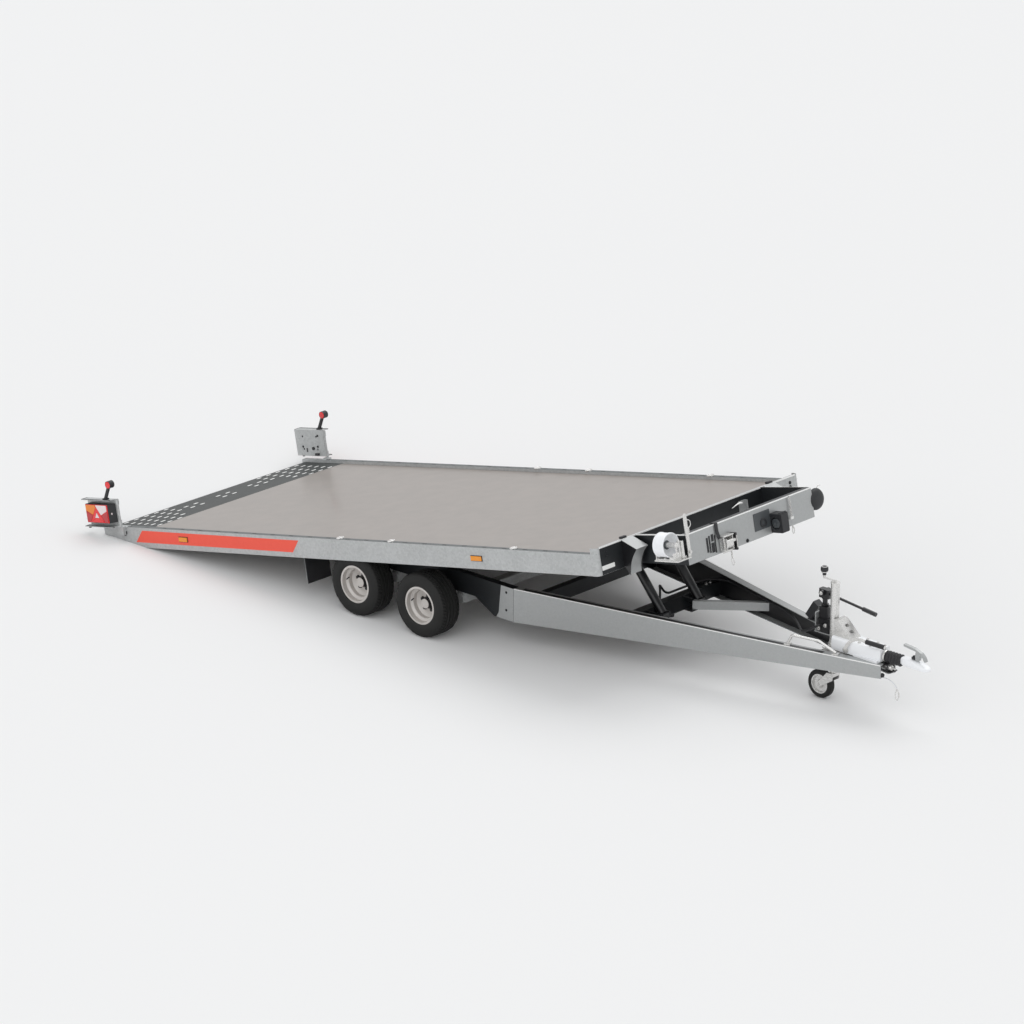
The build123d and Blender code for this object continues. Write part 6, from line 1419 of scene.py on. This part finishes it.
# ---------------------------------------------------------------- studio
@dataclass
class Studio:
    """A pale floor, soft light from above and behind the trailer, and the camera.

    Its lengths are in metres, its turns in degrees, and the lens and its sensor in millimetres.
    """

    ahead: float = 21.3967       # eye ahead of the tilt shaft
    aside: float = -22.899
    up: float = 11.632
    yaw: float = 132.6476        # where it looks, from forward towards the left
    pitch: float = -19.4478
    lens: float = 164.9
    sensor: float = 36.0
    far: float = 500.0
    floor: float = 120.0         # its radius
    backdrop: str = "#eeeeee"
    backdrop_light: str = "#f1f1f1"
    sky: float = 0.78            # strength of the light from all round
    sky_seen: float = 0.9        # and of what the camera and gloss see of it
    suns: tuple[tuple[str, tuple[float, float, float], float, float], ...] = (
        ("overhead_panel", (-0.25, 0.55, 1.0), 50.0, 0.95),
        ("near_panel", (0.35, -1.0, 0.75), 60.0, 0.45))

    def build_camera(self) -> None:
        """Place the camera and make it the scene's own."""
        data = bpy.data.cameras.new("camera")
        data.lens = self.lens
        data.sensor_width = self.sensor
        data.clip_end = self.far
        camera = bpy.data.objects.new("camera", data)
        bpy.context.scene.collection.objects.link(camera)
        yaw, pitch = math.radians(self.yaw), math.radians(self.pitch)
        look = Vector((math.cos(pitch) * math.cos(yaw), math.cos(pitch) * math.sin(yaw), math.sin(pitch)))
        eye = (float(SHAFT[0]) + self.ahead, self.aside, self.up)
        camera.matrix_world = Matrix.Translation(eye) @ look.to_track_quat("-Z", "Y").to_matrix().to_4x4()
        bpy.context.scene.camera = camera

    def build_floor(self) -> None:
        """Lay the floor: a round sheet far wider than the view."""
        steps = 96
        angle = np.linspace(0.0, 2.0 * math.pi, steps, endpoint=False)
        ring = np.stack([self.floor * np.cos(angle), self.floor * np.sin(angle), np.full(steps, -0.001)], -1)
        mesh = bpy.data.meshes.new("studio_floor")
        mesh.from_pydata(ring.tolist(), [], [tuple(range(steps))])
        material = bpy.data.materials.new("matt_paper_floor")
        material.use_nodes = True
        tree = material.node_tree
        tree.nodes.clear()
        where = add_node(tree, "ShaderNodeTexCoord").outputs["Object"]
        tooth = add_node(tree, "ShaderNodeTexNoise", {"Scale": 0.05, "Detail": 2.0}, {"Vector": where})
        tone = add_node(tree, "ShaderNodeMix",
                        {"data_type": "RGBA", 6: linear(self.backdrop), 7: linear(self.backdrop_light)},
                        {0: tooth.outputs["Fac"]})
        paper = add_node(tree, "ShaderNodeBsdfDiffuse", {"Roughness": 0.4}, {"Color": tone.outputs[2]})
        add_node(tree, "ShaderNodeOutputMaterial", links={"Surface": paper.outputs[0]})
        mesh.materials.append(material)
        floor = bpy.data.objects.new("studio_floor", mesh)
        bpy.context.scene.collection.objects.link(floor)

    def build_sky(self) -> None:
        """Light the scene evenly from all round, and show the backdrop to the camera and in gloss."""
        world = bpy.data.worlds.new("studio")
        bpy.context.scene.world = world
        world.use_nodes = True
        tree = world.node_tree
        tree.nodes.clear()
        path = add_node(tree, "ShaderNodeLightPath")
        gloss = add_node(tree, "ShaderNodeMath", {"operation": "MAXIMUM"},
                         {0: path.outputs["Is Camera Ray"], 1: path.outputs["Is Glossy Ray"]})
        seen = add_node(tree, "ShaderNodeMath", {"operation": "MAXIMUM"},
                        {0: gloss.outputs[0], 1: path.outputs["Is Transmission Ray"]})
        strength = add_node(tree, "ShaderNodeMapRange", {"To Min": self.sky, "To Max": self.sky_seen},
                            {"Value": seen.outputs[0]})
        light = add_node(tree, "ShaderNodeBackground", {"Color": linear("#f4f5f6")},
                         {"Strength": strength.outputs[0]})
        add_node(tree, "ShaderNodeOutputWorld", links={"Surface": light.outputs[0]})

    def build_lamps(self) -> None:
        """Hang the two wide, soft lamps far off: one overhead and behind, one weak one on the near side."""
        for name, source, spread, strength in self.suns:
            data = bpy.data.lights.new(name, "SUN")
            data.angle = math.radians(spread)
            data.energy = strength
            lamp = bpy.data.objects.new(name, data)
            bpy.context.scene.collection.objects.link(lamp)
            lamp.matrix_world = Vector(source).to_track_quat("Z", "Y").to_matrix().to_4x4()

    def build(self) -> None:
        """Set up the floor, the light and the plain colour handling."""
        self.build_floor()
        self.build_sky()
        self.build_lamps()
        bpy.context.scene.view_settings.view_transform = "Standard"


PACKED_FINISHES: dict[Finishes, tuple[str, ...]] = {
    Finishes.GALVANISED: ("axles", "pump_bracket", "side_rails", "front_beam", "lamp_posts",
                          "lamp_frame_right", "lamp_frame_left"),
    Finishes.ROLLED_ZINC: ("drawbar_beams", "drawbar_brace", "guard_brackets", "coupling_handle"),
    # Painted shade: these galvanised parts under the bed and behind the winch bar's face get the near-black
    # finish.
    Finishes.SHADED_ZINC: ("chassis_crossmembers", "chassis_rails", "lift_crossmember", "cross_members",
                           "long_members", "tilt_brackets", "winch_bar", "lift_ears"),
    Finishes.ZINC: ("tilt_shaft", "plug_bracket", "handbrake_lever", "grab_handle", "mast_bracket",
                    "jockey_mast", "jockey_crank", "jockey_stem", "jockey_fork", "jockey_rim", "winch_frame",
                    "release_lever", "strap_ratchet"),
    Finishes.CAST_SILVER: ("overrun_housing",),
    Finishes.RUBBER: ("hydraulic_hose", "drawbar_bellows"),
    Finishes.BLACK_PAINT: ("hand_pump", "pump_lever", "cylinder_barrels"),
    Finishes.BLACK_PLASTIC: ("valve_box", "socket_block", "lamp_right", "lamp_left"),
    Finishes.PLYWOOD: ("deck_board",),
    Finishes.TAIL_GREY: ("tail_plate",),
    Finishes.CHROME: ("cylinder_rods",),
    Finishes.TYRE: ("jockey_tyre",),
    Finishes.WHEEL_SILVER: ("wheel_front_left", "wheel_front_right", "wheel_rear_left", "wheel_rear_right"),
}


def main() -> None:
    """Dress and finish the trailer, sub-assembly by sub-assembly, and set the studio."""
    logging.basicConfig(level=logging.INFO, format="%(message)s")
    studio = Studio()
    studio.build_camera()
    Breakaway().build()
    for finish, nodes in PACKED_FINISHES.items():
        dress(nodes, finish)
    for axle in ("front", "rear"):
        for side in ("right", "left"):
            RoadWheel(axle, side).build()
    for side in ("right", "left"):
        SideRailTrim(side).build()
        Mudflap(side).build()
        RearLamp(side).build()
    TailTrim().build()
    FrontBeamTrim().build()
    WinchTrim().build()
    DrawbarTrim().build()
    JockeyTrim().build()
    PumpTrim().build()
    studio.build()


if __name__ == "__main__":
    main()
